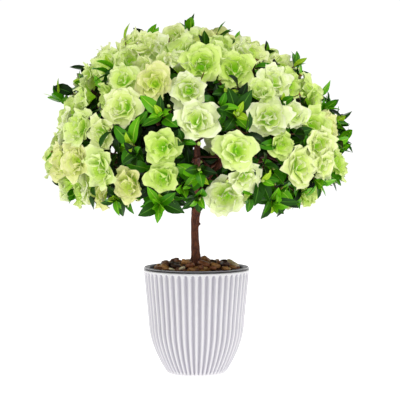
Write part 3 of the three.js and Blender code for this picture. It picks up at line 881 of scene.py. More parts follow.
    def depth_inside(self, mass: Array, points: Array) -> tuple[Array, Array]:
        """Measures how far points lie inside their mass's space, which planes midway to the others bound.

        Args:
            mass: the number of each point's mass.
            points: places in the crown.

        Returns:
            The least distance to those planes, and the way in from that plane.
        """
        seeds = self.seeds()
        own = seeds[mass][:, None]
        inward = unit(own - seeds[None])
        depth = np.sum((points[:, None] - (own + seeds[None]) / 2) * inward, -1)
        depth[np.arange(len(points)), mass] = np.inf
        least = np.argmin(depth, 1)
        rows = np.arange(len(points))
        return depth[rows, least], inward[rows, least]

    def place_front(
        self, azimuth: Array, elevation: Array, level: float, margin: Array
    ) -> tuple[Array, Array, Array]:
        """Places shoots' fronts at a level, moved until they lie the margin inside their mass's space.

        Args:
            azimuth: of each shoot.
            elevation: of each shoot.
            level: share of the way out from the crown's centre.
            margin: least distance from the planes that bound the space.

        Returns:
            The mass of each front, the fronts, and whether each found room.
        """
        surface = self.at(azimuth, elevation, level)
        mass = self.nearest_mass(surface)
        moved, fits = surface.copy(), np.zeros(len(surface), bool)
        for _ in range(12):
            depth, inward = self.depth_inside(mass, moved)
            fits |= depth >= margin
            step = np.where(fits, 0, margin - depth + 0.05)
            moved = moved + inward * step[:, None]
        return mass, np.where(fits[:, None], moved, surface), fits

    def spread_shoots(self) -> tuple[Array, Array]:
        """Spreads the shoots by the golden angle and lets those of each mass push each other apart.

        Returns:
            The azimuth and elevation of each shoot.
        """
        seed = np.arange(self.shoots)
        lowest = math.sin(math.radians(self.hem))
        level = 1 - ((seed + 0.5) / self.shoots) ** self.crowding * (1 - lowest)
        shift = (chance(seed + 101) - 0.5) * self.level_scatter
        elevation = np.degrees(np.arcsin(np.clip(level + shift, -1, 0.998)))
        azimuth = seed * GOLDEN_ANGLE + (chance(seed + 201) - 0.5) * self.turn_scatter
        for _ in range(self.rounds):
            mass, front, _ = self.place_front(azimuth, elevation, 1, np.full(self.shoots, self.cell_margin))
            away = front[:, None] - front[None]
            distance = norm(away, axis=-1)
            near = (distance > 0.01) & (distance <= self.spacing) & (mass[:, None] == mass[None])
            force = np.where(near, self.push * (self.spacing - distance) / np.maximum(distance, 0.01), 0)
            azimuth, elevation = self.direction(front + np.sum(away * force[..., None], 1))
        return azimuth, elevation

    def settle(self) -> Shoots:
        """Settles each shoot in turn as a flower, shrunk until it has room, or else as leaves only.

        Returns:
            The shoots, each joined to its mass.
        """
        azimuth, elevation = self.spread_shoots()
        seed = np.arange(self.shoots)
        axis = unit(self.outward(self.at(azimuth, elevation)) + scattered(seed, 701) * self.lean)
        flowering = chance(seed + 301) < self.flowering - felt_in(self.leafy, azimuth, elevation)
        wanted = np.where(flowering, varied(self.flower_sizes, seed + 401), 0)
        margin = np.full(self.shoots, self.leaf_margin)
        mass, front, _ = self.place_front(azimuth, elevation, self.leaf_level, margin)
        size, flowers = np.ones(self.shoots), np.zeros(self.shoots, bool)
        for i in seed:
            trial = wanted[i]
            while trial > self.least_size and not flowers[i]:
                radius = self.flower_radius * trial
                one, needed = slice(i, i + 1), np.array([radius + 3 * self.gap])
                own, place, fits = self.place_front(azimuth[one], elevation[one], self.flower_level, needed)
                apart = norm(front[flowers] - place, axis=1)
                room = apart > self.flower_spacing * (radius + self.flower_radius * size[flowers])
                if fits[0] and room.all():
                    mass[i], front[i], size[i], flowers[i] = own[0], place[0], trial, True
                trial -= self.shrinking
        depth = np.where(flowers, self.flower_depth * size, 0)[:, None]
        base = front - axis * depth
        elbow = base - axis * np.where(flowers, self.behind_flower, 0)[:, None]
        shoots = Shoots(mass, axis, front, base, elbow, size, flowers, np.zeros_like(base))
        for number in range(len(self.masses)):
            self.root_shoots(shoots, number)
        return shoots

    def root_shoots(self, shoots: Shoots, number: int) -> None:
        """Joins each shoot of a mass to the twig where the way is short and bends little.

        Args:
            shoots: all shoots, which get their roots here.
            number: of the mass.
        """
        mass = self.masses[number]
        path = smooth_path(mass.path, self.path_steps + 1)
        start = mass.entry + unit(path[-1] - path[-2]) * self.gap
        joints = [start + (mass.hub - start) * share for share in (self.stem_joint, 1.0)]
        lengths = [0.0, 0.0]
        own = np.flatnonzero(shoots.mass == number)
        for i in own[np.argsort(norm(shoots.elbow[own] - mass.hub, axis=1), kind="stable")]:
            way = shoots.elbow[i] - np.array(joints)
            far = norm(way, axis=1)
            bend = 1 - way @ shoots.axis[i] / far
            cost = far + self.length_cost * np.array(lengths) + self.bend_cost * bend
            best = int(np.argmin(cost))
            shoots.root[i] = joints[best]
            joints.append((joints[best] + shoots.elbow[i]) / 2)
            lengths.append((lengths[best] + far[best]) * 0.5)


# The pot and what it holds


@dataclass
class CoverPot:
    """The fluted cover pot: a rounded foot, a wall that opens to the rim, and flutes with round ends."""

    height: float
    rim_radius: float
    shoulder_radius: float = 71.8
    shoulder_height: float = 75.0
    foot_radius: float = 44.0
    foot_curve: float = 1.8
    wall: float = 5.0
    floor: float = 6.0
    flutes: int = 48
    flute_depth: float = 2.4
    flute_share: float = 0.3  # half a flute's width, as a share of the way from one to the next
    flute_end: float = 5.0  # length of a flute's round end
    flute_foot: float = 2.0  # height where the flutes start
    run_in: float = 1.4  # a flute keeps its depth until it has narrowed to 1 over this
    rib_rise: float = 0.5  # how far the ribs' middles are rounded up
    plain_lip: float = 3.4
    lip_round: float = 1.6
    foot_edge: float = 1.2  # how far the lowest edge is drawn in
    foot_rows: tuple[float, ...] = (0.0, 0.8, 2.0, 3.2, 4.6, 6.2, 8.0)
    inner_rows: tuple[float, ...] = (110.0, 75.0, 40.0, 16.0)
    flute_shade_steps: Pair = (0.1, 0.66)  # shares of the depth where the colour steps darker, as painted shade in the flutes
    around: int = 576

    def radius(self, height: Array) -> Array:
        """Gives the outer radius: a straight wall over a foot that curves in by a power.

        Args:
            height: of the points.

        Returns:
            The radius at each.
        """
        up = (height - self.shoulder_height) / (self.height - self.shoulder_height)
        down = 1 - height / self.shoulder_height
        wall = self.shoulder_radius + (self.rim_radius - self.shoulder_radius) * up
        rounded = 1 - np.clip(down, 0, 1) ** self.foot_curve
        foot = self.foot_radius + (self.shoulder_radius - self.foot_radius) * rounded
        return np.where(height >= self.shoulder_height, wall, foot)

    def groove(self, height: Array, turn: Array) -> Array:
        """Gives the depth of the flutes: a hollow with a square law, which narrows to a round end.

        Args:
            height: of each row of points.
            turn: of each column of points, in turns.

        Returns:
            The depths, a row for each height.
        """
        across = np.abs((turn * self.flutes) % 1 - 0.5)[None]
        top = self.height - self.plain_lip
        end = np.clip((height - (top - self.flute_end)) / self.flute_end, 0, 1)
        low = np.clip((self.flute_foot + self.flute_end - height) / self.flute_end, 0, 1)
        narrowed = np.sqrt(np.clip(1 - end**2, 0, 1)) * np.sqrt(np.clip(1 - low**2, 0, 1))
        half = np.maximum(self.flute_share * narrowed, 1e-3)[:, None]
        hollow = np.clip(1 - (across / half) ** 2, 0, 1) * self.flute_depth
        rib = (1 - np.cos(TURN * (across - 0.5))) * 0.5 * self.rib_rise * narrowed[:, None]
        return hollow * np.minimum(1, half / self.flute_share * self.run_in) + rib

    def build(self) -> None:
        """Turns the wall's outline about the axis, outside up, over the lip and down inside.

        Its rows stand closest where the foot turns and where the flutes end.
        """
        body = np.linspace(11, self.height - self.plain_lip - 6, 26)
        ends = self.height - self.plain_lip + np.linspace(-self.flute_end, 0.4, 12)
        rows = np.concatenate([self.foot_rows, body, ends])
        turn = np.arange(self.around) / self.around
        outer = self.radius(rows)[:, None] - self.groove(rows, turn)
        outer[0] = self.foot_radius - self.foot_edge
        lip_turn = np.radians(np.linspace(0, 180, 9))
        half = self.wall / 2
        lip_radius = self.rim_radius - half + half * np.cos(lip_turn)
        lip_height = self.height - self.lip_round + self.lip_round * np.sin(lip_turn)
        inner_rows = np.array([self.height - 6, *self.inner_rows, self.floor])
        inner = self.radius(inner_rows) - self.wall
        radii = np.concatenate([outer, *[np.full((1, self.around), r) for r in (*lip_radius, *inner)]])
        heights = np.concatenate([rows, lip_height, inner_rows])
        ring = np.stack([np.cos(turn * TURN), np.sin(turn * TURN)], -1)
        points = np.concatenate(
            [radii[..., None] * ring[None], np.broadcast_to(heights[:, None, None], (*radii.shape, 1))], -1
        )
        surface = closed_tubes(points[None], np.array([[0, 0, 0.0]]), np.array([[0, 0, self.floor]]))
        # The flutes' flanks and hollows take the greyer glazes by their depth: painted shade.
        hollow = np.zeros((len(radii) - 1, self.around))
        hollow[: len(rows) - 1] = (self.groove(rows, turn + 0.5 / self.around) / self.flute_depth)[:-1]
        painted_flute_shade = np.digitize(hollow, self.flute_shade_steps, right=True)
        surface.painted(tube_finish(painted_flute_shade, 0, 0, (1, *hollow.shape)))
        make_piece("fluted_pot", surface, STONEWARE_GLAZE, "pot_glaze", "pot_cover")


def turned(profile: Array, sides: int) -> Surface:
    """Turns a profile about the axis.

    Args:
        profile: radii and heights, of which the first and last point are on the axis.
        sides: how many it gets.

    Returns:
        The closed surface.
    """
    turn = np.arange(sides) * TURN / sides
    radius, height = profile[1:-1, 0], profile[1:-1, 1]
    flat = [radius[:, None] * np.cos(turn), radius[:, None] * np.sin(turn)]
    rings = np.stack([*flat, np.broadcast_to(height[:, None], flat[0].shape)], -1)
    ends = [np.array([[0.0, 0.0, profile[i, 1]]]) for i in (0, -1)]
    return closed_tubes(rings[None], *ends)


@dataclass
class PotLiner:
    """The dark inner pot, whose flat flange with a rolled edge lies on the cover pot's rim."""

    top: float
    flange_radius: float
    flange_height: float = 3.0
    wall: float = 2.0
    bottom: float = 28.0
    bottom_radius: float = 50.0
    top_radius: float = 72.5
    sides: int = 144

    def inner_radius(self, height: Array | float) -> Array | float:
        """Gives the inside radius at a height, on the straight line from the bottom to the top."""
        share = (height - self.bottom) / (self.top - self.bottom)
        return self.bottom_radius + (self.top_radius - self.bottom_radius) * share - self.wall

    def build(self) -> None:
        """Turns the liner's outline: up outside, round the flange's edge and down inside."""
        under = self.top - self.flange_height
        half = self.flange_height / 2
        turn = np.radians(np.linspace(-90, 90, 9))
        out, up = self.flange_radius - half, under + half
        edge = [(out + half * math.cos(t), up + half * math.sin(t)) for t in turn]
        inside = self.inner_radius(self.top)
        lip = [(inside + 3.2, self.top - 0.7), (inside + 2.2, self.top - 0.7), (inside + 1.4, self.top)]
        bend = [(inside + 0.6, self.top - 0.1), (inside + 0.1, self.top - 0.8), (inside, self.top - 2)]
        low, corner = self.bottom, self.bottom_radius
        outer = [(0.0, low), (corner - 1, low), (corner, low + 1)]
        wall = [(self.inner_radius(level) + self.wall, level) for level in (under - 2, under)]
        floor = low + self.wall
        foot = self.inner_radius(floor)
        inner = [(self.inner_radius(floor + 2), floor + 2), (foot - 2, floor), (0.0, floor)]
        profile = np.array([*outer, *wall, *edge, *lip, *bend, *inner], float)
        surface = turned(profile, self.sides)
        rows = np.arange(len(profile) - 3)
        edge_end = len(outer) + len(wall) + len(edge) - 2
        # The upper rows of the flange's rounded edge take the pale finish: a painted highlight.
        painted_edge_highlight = (rows >= edge_end - 3) & (rows < edge_end)
        surface.painted(tube_finish(painted_edge_highlight[:, None], 0, 0, (1, len(rows), self.sides)))
        finishes = [MOULDED_POLYPROPYLENE, PAINTED_HIGHLIGHT_POLYPROPYLENE]
        make_piece("grow_pot_liner", surface, finishes, "liner_plastic", "pot_liner")


@dataclass
class SoilAndBark:
    """The soil in the liner, heaped to the stem, and the bark nuggets that lie on it."""

    liner: PotLiner
    collar_height: float
    edge_below_rim: float = 9.0
    wall_gap: float = 0.7  # between the soil and the liner's wall
    floor_gap: float = 0.3
    collar_radius: float = 13.0
    bed_depth: float = 3.0
    crumbs: tuple[tuple[float, int, float], ...] = ((7.0, 5, 0.7), (3.4, 6, 0.5))  # size, seed and height
    loose_from: float = 60.0  # height over the floor above which the soil is broken into crumbs
    soil_rows: int = 26
    soil_sides: int = 120
    nuggets: int = 74
    nugget_length: float = 17.0
    chips: int = 190
    chip_length: float = 7.0
    bark_sizes: Pair = (0.7, 0.6)
    bark_widths: Pair = (0.5, 0.25)  # as shares of a piece's length
    bark_heights: Pair = (0.3, 0.2)
    bark_rows: int = 7
    bark_columns: int = 10
    bluntness: float = 0.72  # power of a sphere's sines and cosines: 1 is round, and less is square
    bark_tilt: float = 0.9  # greatest pitch and roll from one end to the other, in radians

    def height(self, radius: Array) -> Array:
        """Gives the soil's height: a plain cone from the liner's wall to the stem.

        Args:
            radius: distance from the axis.

        Returns:
            The height there.
        """
        low = self.liner.top - self.edge_below_rim
        edge = self.liner.inner_radius(low) - self.wall_gap
        share = np.clip((edge - radius) / (edge - self.collar_radius), 0, 1)
        return low + (self.collar_height - low) * share

    def build_soil(self) -> None:
        """Turns the soil's outline and breaks its top into crumbs with smooth unevenness."""
        floor = self.liner.bottom + self.liner.wall + self.floor_gap
        edge = self.liner.inner_radius(self.liner.top - self.edge_below_rim) - self.wall_gap
        radii = np.linspace(edge, 3, self.soil_rows)
        top = np.stack([radii, self.height(radii)], -1)
        low = [[0, floor], [self.liner.inner_radius(floor) - self.wall_gap, floor]]
        profile = np.concatenate([low, top, [[0, self.collar_height]]])
        surface = turned(profile, self.soil_sides)
        points = surface.points
        loose = (points[:, 2] > floor + self.loose_from) & (np.hypot(*points.T[:2]) < edge - 1)
        crumbs = sum(lumps(points, size, seed) * height for size, seed, height in self.crumbs)
        points[:, 2] += np.where(loose, crumbs, 0)
        make_piece("potting_soil", surface, [PEAT], "soil", "root_ball")

    def lumps_of_bark(self, count: int, length: float, first: float, lift: float, seed: int) -> Surface:
        """Shapes bark pieces as blunt, uneven blocks: a sphere whose sines and cosines get a lower power.

        Args:
            count: how many pieces.
            length: usual length in millimetres.
            first: turn of the first piece, in degrees.
            lift: height of a piece's middle over the bed of chips, as a share of its length.
            seed: starts the pieces' seeds.

        Returns:
            The pieces, with a colour for each.
        """
        salt = np.arange(count) + seed
        size = length * varied(self.bark_sizes, salt)
        outer = self.liner.inner_radius(self.liner.top - self.edge_below_rim) - size * 0.55
        inner = self.collar_radius - 3 + size * 0.5
        radius = inner + (outer - inner) * np.sqrt((np.arange(count) + 0.5) / count)
        around = np.radians(first + np.arange(count) * GOLDEN_ANGLE)
        rows, columns = self.bark_rows, self.bark_columns
        up = np.linspace(-0.5, 0.5, rows)[1:-1, None] * math.pi
        turn = np.arange(columns)[None] * TURN / columns
        waves = (np.cos(turn), np.sin(turn), np.cos(up), np.sin(up))
        blunt = [np.sign(wave) * np.abs(wave) ** self.bluntness for wave in waves]
        upright = np.broadcast_to(blunt[3], (rows - 2, columns))
        body = np.stack([blunt[0] * blunt[2], blunt[1] * blunt[2], upright], -1).reshape(-1, 3)
        body = np.concatenate([body, [[0, 0, -1], [0, 0, 1]]])[None]
        widths, heights = varied(self.bark_widths, salt + 40), varied(self.bark_heights, salt + 80)
        scale = np.stack([np.ones(count), widths, heights], -1)
        shape = body * (scale * size[:, None] * 0.5)[:, None]
        apart = np.arange(count)[:, None, None] * 50.0  # each piece meets its own stretch of unevenness
        shape = shape * (1 + 0.16 * lumps(shape + apart, length * 0.6, seed)[..., None])
        heading = TURN * chance(salt + 120)
        pitch, roll = ((chance(salt + step) - 0.5) * self.bark_tilt for step in (160, 200))
        for angle, one, other in ((roll, 1, 2), (pitch, 0, 2), (heading, 0, 1)):
            cosine, sine = np.cos(angle)[:, None], np.sin(angle)[:, None]
            a, b = shape[..., one].copy(), shape[..., other].copy()
            shape[..., one] = a * cosine - b * sine
            shape[..., other] = a * sine + b * cosine
        level = self.height(radius) + self.bed_depth + size * lift
        shape = shape + np.stack([radius * np.cos(around), radius * np.sin(around), level], -1)[:, None]
        rings = shape[:, :-2].reshape(count, rows - 2, columns, 3)
        kind = (chance(salt + 240) * len(PINE_BARK)).astype(int)
        finish = tube_finish(kind[:, None, None], kind, kind, (count, rows - 3, columns))
        return closed_tubes(rings, shape[:, -2], shape[:, -1]).painted(finish)

    def build_bark(self) -> None:
        """Lays small chips on the soil and larger nuggets over them."""
        layers = [
            self.lumps_of_bark(self.chips, self.chip_length, 0, -0.2, 1000),
            self.lumps_of_bark(self.nuggets, self.nugget_length, 40, 0.0, 2000),
            self.lumps_of_bark(self.nuggets // 2, self.nugget_length, 100, 0.32, 3000),
        ]
        make_piece("bark_nuggets", gathered(layers), PINE_BARK, "bark_nuggets", "bark_mulch")


# The stem and the boughs


@dataclass
class Wood:
    """The old wood: the stem with its root flare and lean, and the boughs that leave it."""

    rule: CrownRule
    ground: float
    stem_points: tuple[tuple[float, float], ...] = (
        (-1, 172), (-2, 196), (-2.4, 222), (-0.6, 242), (1.5, 258), (2.4, 272),
    )
    stem_radii: tuple[float, ...] = (9.6, 6.8, 6.1, 5.8, 6.6, 7.6, 6.4)
    stem_steps: int = 150
    stem_sides: int = 48
    flare_height: float = 7.0  # over which the roots' ridges fade
    furrow_depth: float = 0.75
    knob_height: float = 223.5
    knob_length: float = 3.0
    knob_radius: float = 2.2
    bough_steps: int = 40
    bough_sides: int = 20
    leader_radii: Pair = (3.7, 2.5)  # at its foot and where it enters its mass
    limb_radii: Pair = (3.0, 2.2)

    def furrows(self, turn: Array, height: Array) -> Array:
        """Shapes the bark's ridges, which run along the stem, waver, split and cross.

        Args:
            turn: angle round the stem, in radians.
            height: along the stem, in millimetres.

        Returns:
            The relief, between -1.25 and 0.75.
        """
        waver = 0.5 * np.sin(height / 9 + 2 * np.sin(turn)) + 0.35 * np.sin(height / 4.3 + 3 * turn)
        wide = np.abs(np.sin(3.5 * turn + waver + height / 60))
        fine = np.abs(np.sin(8 * turn - 1.6 * waver + height / 35 + 1))
        cross = 0.25 * np.sin(height / 3.1 + 4 * np.sin(2 * turn + height / 11))
        return 0.5 - 0.9 * (1 - wide) ** 2 - 0.6 * (1 - fine) ** 2 + cross

    def build_stem(self) -> None:
        """Wraps the stem's path in bark, with a spreading foot and the stub of a cut twig."""
        points = np.array([(-0.5, 0, self.ground), *[(x, 0, z) for x, z in self.stem_points]], float)
        path = smooth_path(points, self.stem_steps)
        along = np.linspace(0, 1, self.stem_steps)
        radii = np.interp(along, np.linspace(0, 1, len(self.stem_radii)), self.stem_radii)
        _, turn, (ring,) = rings_along(path[None], self.stem_sides)
        height = path[:, 2][:, None]
        flare = 1 + 0.16 * np.exp(-(height - self.ground) / self.flare_height) * np.sin(5 * turn + 1) ** 2
        radius = radii[:, None] * flare + self.furrow_depth * self.furrows(turn[None], height) - 0.3
        to_right = np.maximum(0, ring[..., 0]) ** 8
        knob = np.exp(-(((height - self.knob_height) / self.knob_radius) ** 2))
        radius = radius + self.knob_length * to_right * knob
        points = path[:, None] + radius[..., None] * ring
        points[0, :, 2] = self.ground
        surface = closed_tubes(points[None], path[:1], path[-1:] + UP * 2)
        make_piece("stem_with_furrowed_bark", surface, [STEM_BARK], "bark", "trunk")

    def build_boughs(self) -> None:
        """Wraps every bough in bark, tapering from the fork to where it enters its mass."""
        masses = self.rule.masses
        paths = np.array([smooth_path(mass.path, self.bough_steps) for mass in masses])
        ends = [self.limb_radii if mass.tier is Tier.SKIRT else self.leader_radii for mass in masses]
        base, tip = np.array(ends).T[..., None]
        share = np.linspace(0, 1, self.bough_steps)
        radii = base + (tip - base) * share
        length = share * 100
        _, turn, ring = rings_along(paths, self.bough_sides)
        relief = 0.4 * self.furrows(turn[None], length[:, None])[None]
        knots = 0.35 * np.maximum(0, np.sin(length / 7.5))[None, :, None] ** 6
        rings = paths[:, :, None] + (radii[..., None] + relief + knots)[..., None] * ring
        surface = closed_tubes(rings, paths[:, 0], paths[:, -1])
        nodes = [f"bough_{mass.name}" for mass in masses]
        make_piece("boughs_with_bark", surface, [STEM_BARK], "bark", *nodes)


# Twigs, leaves and buds


@dataclass
class Blooms:
    """Double flowers, one in each row: the tube's foot, the way it faces, its size, mass and openness."""

    base: Array
    axis: Array
    size: Array
    mass: Array
    open: Array

    def clearance(self, places: Array, radius: float) -> Array:
        """Gives the least distance from each place to a flower's middle, as a share of its radius."""
        away = norm(places[:, None] - (self.base + self.axis * radius * 0.45), axis=-1)
        return np.min(away / (radius * self.size[None]), axis=1)


@dataclass
class FineTwigs:
    """Twigs finer than the source's: each fills a space between the shoots, and ends in leaves."""

    root: Array
    end: Array
    axis: Array
    mass: Array
    layer: Array


@dataclass(frozen=True)
class Layer:
    """A layer of fine twigs: its level, how many places are tried, how far apart, and the leaves it bears.

    clear is the least way from a flower's middle, as a share of its radius.
    """

    level: float
    tried: int
    apart: float
    clear: float
    leaves: int
    length: float
    spread: Pair
    ages: tuple[int, int]


# The deeper layers bear only the darkest leaves: partly the older leaves that grow inside, partly painted
# shade deep in the crown.
LAYERS = (
    Layer(0.915, 700, 38, 1.1, 4, 30, (8, 46), (0, 4)),
    Layer(0.85, 800, 25, 0.85, 5, 33, (22, 66), (0, 3)),
    Layer(0.76, 560, 28, 0.7, 5, 36, (35, 80), (0, 1)),
    Layer(0.6, 260, 36, 0.7, 5, 38, (35, 85), (0, 1)),
)


@dataclass(frozen=True)
class Opening:
    """A place where leaves are missing, from the front as far back as a depth, so the wood shows."""

    x: float
    z: float
    radius: float
    depth: float = 300.0

    def holds(self, places: Array, margin: float = 0.0) -> Array:
        """Tells which places lie in the opening or within a margin of it."""
        away = np.hypot(places[..., 0] - self.x, places[..., 2] - self.z)
        return (away < self.radius + margin) & (places[..., 1] < self.depth)


OPENINGS = (
    Opening(31, 337, 18), Opening(14, 346, 14), Opening(37, 264, 14), Opening(-118, 484, 15),
    Opening(-60, 415, 12), Opening(-66, 346, 13), Opening(-128, 334, 14),
    Opening(22, 338, 28, -20), Opening(-62, 350, 20, -20),
)


def in_openings(places: Array, margin: float = 0.0) -> Array:
    """Tells which places lie in any opening or within a margin of it."""
    return np.any([opening.holds(places, margin) for opening in OPENINGS], axis=0)


# Where the flowers sit deeper among the leaves, with the share in millimetres.
SUNKEN = (Feature(0, 58, 12, 22), Feature(180, 70, 4, 12), Feature(0, -26, 13, 18))
# Where the side flowers are most, and where they are fewest.
FULLEST = (Feature(-128, 48, 0.5, 26), Feature(-73, -20, 0.9, 9))
BAREST = (Feature(4, 2, 0.9, 26), Feature(-145, 2, 0.45, 30), Feature(-90, -28, 0.4, 40))

# The ends of long young shoots that stand out of the blossom.
SPRIGS = (
    (-200, -30, 412), (-106, -20, 500), (30, -30, 506), (144, -60, 460), (188, -60, 396), (210, -50, 336),
    (196, -80, 284), (-150, 70, 466), (60, 90, 496), (-60, 170, 420), (120, 160, 400), (-190, 60, 330),
    (106, -172, 264), (-50, -196, 262), (160, 120, 300), (-120, -110, 454), (118, -150, 400), (20, 205, 330),
    (204, -20, 374), (206, -80, 312), (206, 30, 346), (180, -120, 288), (206, -10, 300),
)


@dataclass(frozen=True)
class Tuft:
    """The whorls of leaves round some ends: what they grow on, how many leaves, how wide, how long, how old.

    spread holds the least and greatest angle from the end's axis in degrees, and ages the oldest age, as a
    place in LeafAge, and the first that no leaf reaches. setback is how far behind the end the first leaf is.
    """

    ends: Array
    axes: Array
    masses: Array
    leaves: int
    spread: Pair
    length: float
    ages: tuple[int, int]
    setback: float = 0.0


@dataclass
class Foliage:
    """The blossom, twigs, leaves and buds of the whole crown, grown from the shoots."""

    rule: CrownRule
    shoots: Shoots
    nod: Array = field(default_factory=lambda: np.array([1.0, 1.0, 0.38]))  # turns flowers to the side
    sink: Pair = (5.0, 10.0)  # how deep flowers sit at least, and how much more at most
    openness: Pair = (0.86, 0.22)  # the least open flower, and how much more others are
    side_openness: Pair = (0.6, 0.45)
    side_sizes: Pair = (0.78, 0.24)
    side_bloom_level: float = 0.88
    side_blooms_tried: int = 1500
    side_bloom_share: float = 0.28  # share of the tried places that are wanted away from the features
    side_bloom_spacing: float = 38.0
    side_bloom_room: float = 0.95  # least way from the source's flowers, as a share of their radius
    rooting: tuple[float, ...] = (0.25, 0.45, 0.65, 0.85)  # shares of a shoot where finer twigs may root
    bend_cost: float = 18.0  # a square turn costs as much as this many millimetres of way
    stray_cost: float = 400.0  # the same for rooting in another mass
    knee: float = 0.42  # how far before its end a twig bends, as a share of its length
    leaf_lengths: Pair = (0.72, 0.45)  # the shortest leaf, and how much longer others are
    leaf_curls: Pair = (0.25, 0.7)  # the same for the turn from foot to tip, in radians
    leaf_widths: Pair = (0.185, 0.07)  # and for half the width, as a share of the length
    leaf_folds: Pair = (0.15, 0.4)  # and for how steeply the halves rise
    young_curl: float = 0.35  # how much of its curl a leaf on a long young shoot has
    leaf_rows: int = 6
    leaf_columns: tuple[float, ...] = (-1.0, -0.52, -0.07, 0.07, 0.52, 1.0)
    leaf_step: float = 2.2  # from one leaf of a whorl down to the next
    twig_steps: int = 7
    bud_lengths: Pair = (7.0, 5.0)
    bud_corners: int = 8
    blooms: Blooms = field(init=False)
    flower_twigs: FineTwigs = field(init=False)
    fine: FineTwigs = field(init=False)

    def __post_init__(self) -> None:
        """Sets the source's flowers, grows the side flowers between them and fills the spaces with twigs."""
        shoots = self.shoots
        own = np.flatnonzero(shoots.flowers)
        open_share = varied(self.openness, own + 6101)
        axis = unit(shoots.axis[own] * self.nod + scattered(own, 6301) * 0.45)
        depth = (self.rule.flower_depth * shoots.size[own] / 2)[:, None]
        low = felt_in(SUNKEN, *self.rule.direction(shoots.base[own]))
        sunk = (self.sink[0] + self.sink[1] * chance(own + 6201) ** 2 + low)[:, None]
        base = shoots.base[own] + shoots.axis[own] * (depth - sunk) - axis * depth
        self.blooms = Blooms(base, axis, shoots.size[own], shoots.mass[own], open_share)
        self.flower_twigs = self.grow_side_blooms()
        self.fine = self.fill_spaces()

    def spaced(self, level: float, tried: int, salt: int) -> tuple[Array, Array, Array]:
        """Tries places spread by the golden angle at a level of the crown.

        Args:
            level: share of the way out from the crown's centre.
            tried: how many places.
            salt: turns the places and scatters their levels.

        Returns:
            The places, and the azimuth and elevation of each.
        """
        seed = np.arange(tried)
        up = 1 - (seed + 0.5) / tried * (1 - math.sin(math.radians(self.rule.hem - 3)))
        elevation = np.degrees(np.arcsin(up))
        azimuth = seed * GOLDEN_ANGLE + salt
        share = level + (chance(seed + salt) - 0.5) * 0.06
        places = self.rule.centre + (self.rule.at(azimuth, elevation) - self.rule.centre) * share[:, None]
        return places, azimuth, elevation

    def grow_side_blooms(self) -> FineTwigs:
        """Adds lower flowers in the spaces between the source's, each turned away from its neighbour.

        Returns:
            The twigs that bear them.
        """
        rule, first = self.rule, self.blooms
        places, azimuth, elevation = self.spaced(self.side_bloom_level, self.side_blooms_tried, 7001)
        seed = np.arange(len(places))
        fewer = felt_in(rule.leafy, azimuth, elevation) + felt_in(BAREST, azimuth, elevation)
        more = felt_in(FULLEST, azimuth, elevation)
        wanted = chance(seed + 7101) < self.side_bloom_share + more - fewer * 0.7
        room = first.clearance(places, rule.flower_radius) > self.side_bloom_room
        fit = np.flatnonzero(wanted & room & ~in_openings(places, rule.flower_radius / 2))
        kept = fit[kept_apart(places[fit], self.side_bloom_spacing, np.zeros((0, 3)))]
        places, seed = places[kept], seed[kept]
        middle = first.base + first.axis * rule.flower_depth * 0.45
        away = places[:, None] - middle[None]
        nearest = np.argmin(norm(away, axis=-1), 1)
        aside = unit(away[np.arange(len(places)), nearest])
        axis = unit(rule.outward(places) * self.nod + aside * 0.45 + scattered(seed, 7301) * 0.6)
        size = varied(self.side_sizes, seed + 7601)
        base = places - axis * (size * rule.flower_depth * 0.5)[:, None]
        twigs = self.rooted(base, axis, np.zeros(len(base), int))
        open_share = varied(self.side_openness, seed + 7701)
        columns = ((first.base, base), (first.axis, axis), (first.size, size), (first.mass, twigs.mass))
        self.blooms = Blooms(*(np.concatenate(pair) for pair in columns), np.append(first.open, open_share))
        return twigs

    def rooted(self, ends: Array, axis: Array, layer: Array) -> FineTwigs:
        """Roots each end on a shoot of its mass, where the way is short and bends little.

        Args:
            ends: where the twigs end.
            axis: the ways in which they arrive there.
            layer: the numbers of their layers.

        Returns:
            The twigs.
        """
        shoots = self.shoots
        mass = self.rule.nearest_mass(ends)
        shares = np.array(self.rooting)
        joints = shoots.root[:, None] + (shoots.elbow - shoots.root)[:, None] * shares[:, None]
        joints = joints.reshape(-1, 3)
        owner = np.repeat(shoots.mass, len(shares))
        way = ends[:, None] - joints[None]
        far = norm(way, axis=-1)
        bend = 1 - np.sum(way * axis[:, None], -1) / far
        cost = far + self.bend_cost * bend + np.where(mass[:, None] == owner[None], 0, self.stray_cost)
        return FineTwigs(joints[np.argmin(cost, 1)], ends, axis, mass, layer)

    def fill_spaces(self) -> FineTwigs:
        """Finds the ends of fine twigs, layer by layer, clear of the flowers and of each other.

        Returns:
            The twigs to those ends and to the sprigs.
        """
        rule = self.rule
        ends = np.zeros((0, 3))
        layers = np.zeros(0, int)
        for number, layer in enumerate(LAYERS):
            places, _, _ = self.spaced(layer.level, layer.tried, 5101 + number)
            clear = self.blooms.clearance(places, rule.flower_radius) > layer.clear
            places = places[clear & ~in_openings(places)]
            kept = places[kept_apart(places, layer.apart, ends)]
            ends = np.concatenate([ends, kept])
            layers = np.append(layers, np.full(len(kept), number))
        ends = np.concatenate([ends, np.array(SPRIGS, float)])
        layers = np.append(layers, np.full(len(SPRIGS), len(LAYERS)))
        lean = scattered(np.arange(len(ends)), 5301)
        return self.rooted(ends, unit(rule.outward(ends) + lean * 0.7), layers)

    def bent(self, root: Array, end: Array, axis: Array) -> Array:
        """Bends twigs on quadratic curves, so that they arrive along their axes.

        Args:
            root: where they start.
            end: where they end.
            axis: the ways in which they arrive.

        Returns:
            Their paths.
        """
        far = norm(end - root, axis=1, keepdims=True)
        knee = end - axis * far * self.knee
        t = np.linspace(0, 1, self.twig_steps)[None, :, None]
        return root[:, None] * (1 - t) ** 2 + knee[:, None] * 2 * t * (1 - t) + end[:, None] * t**2

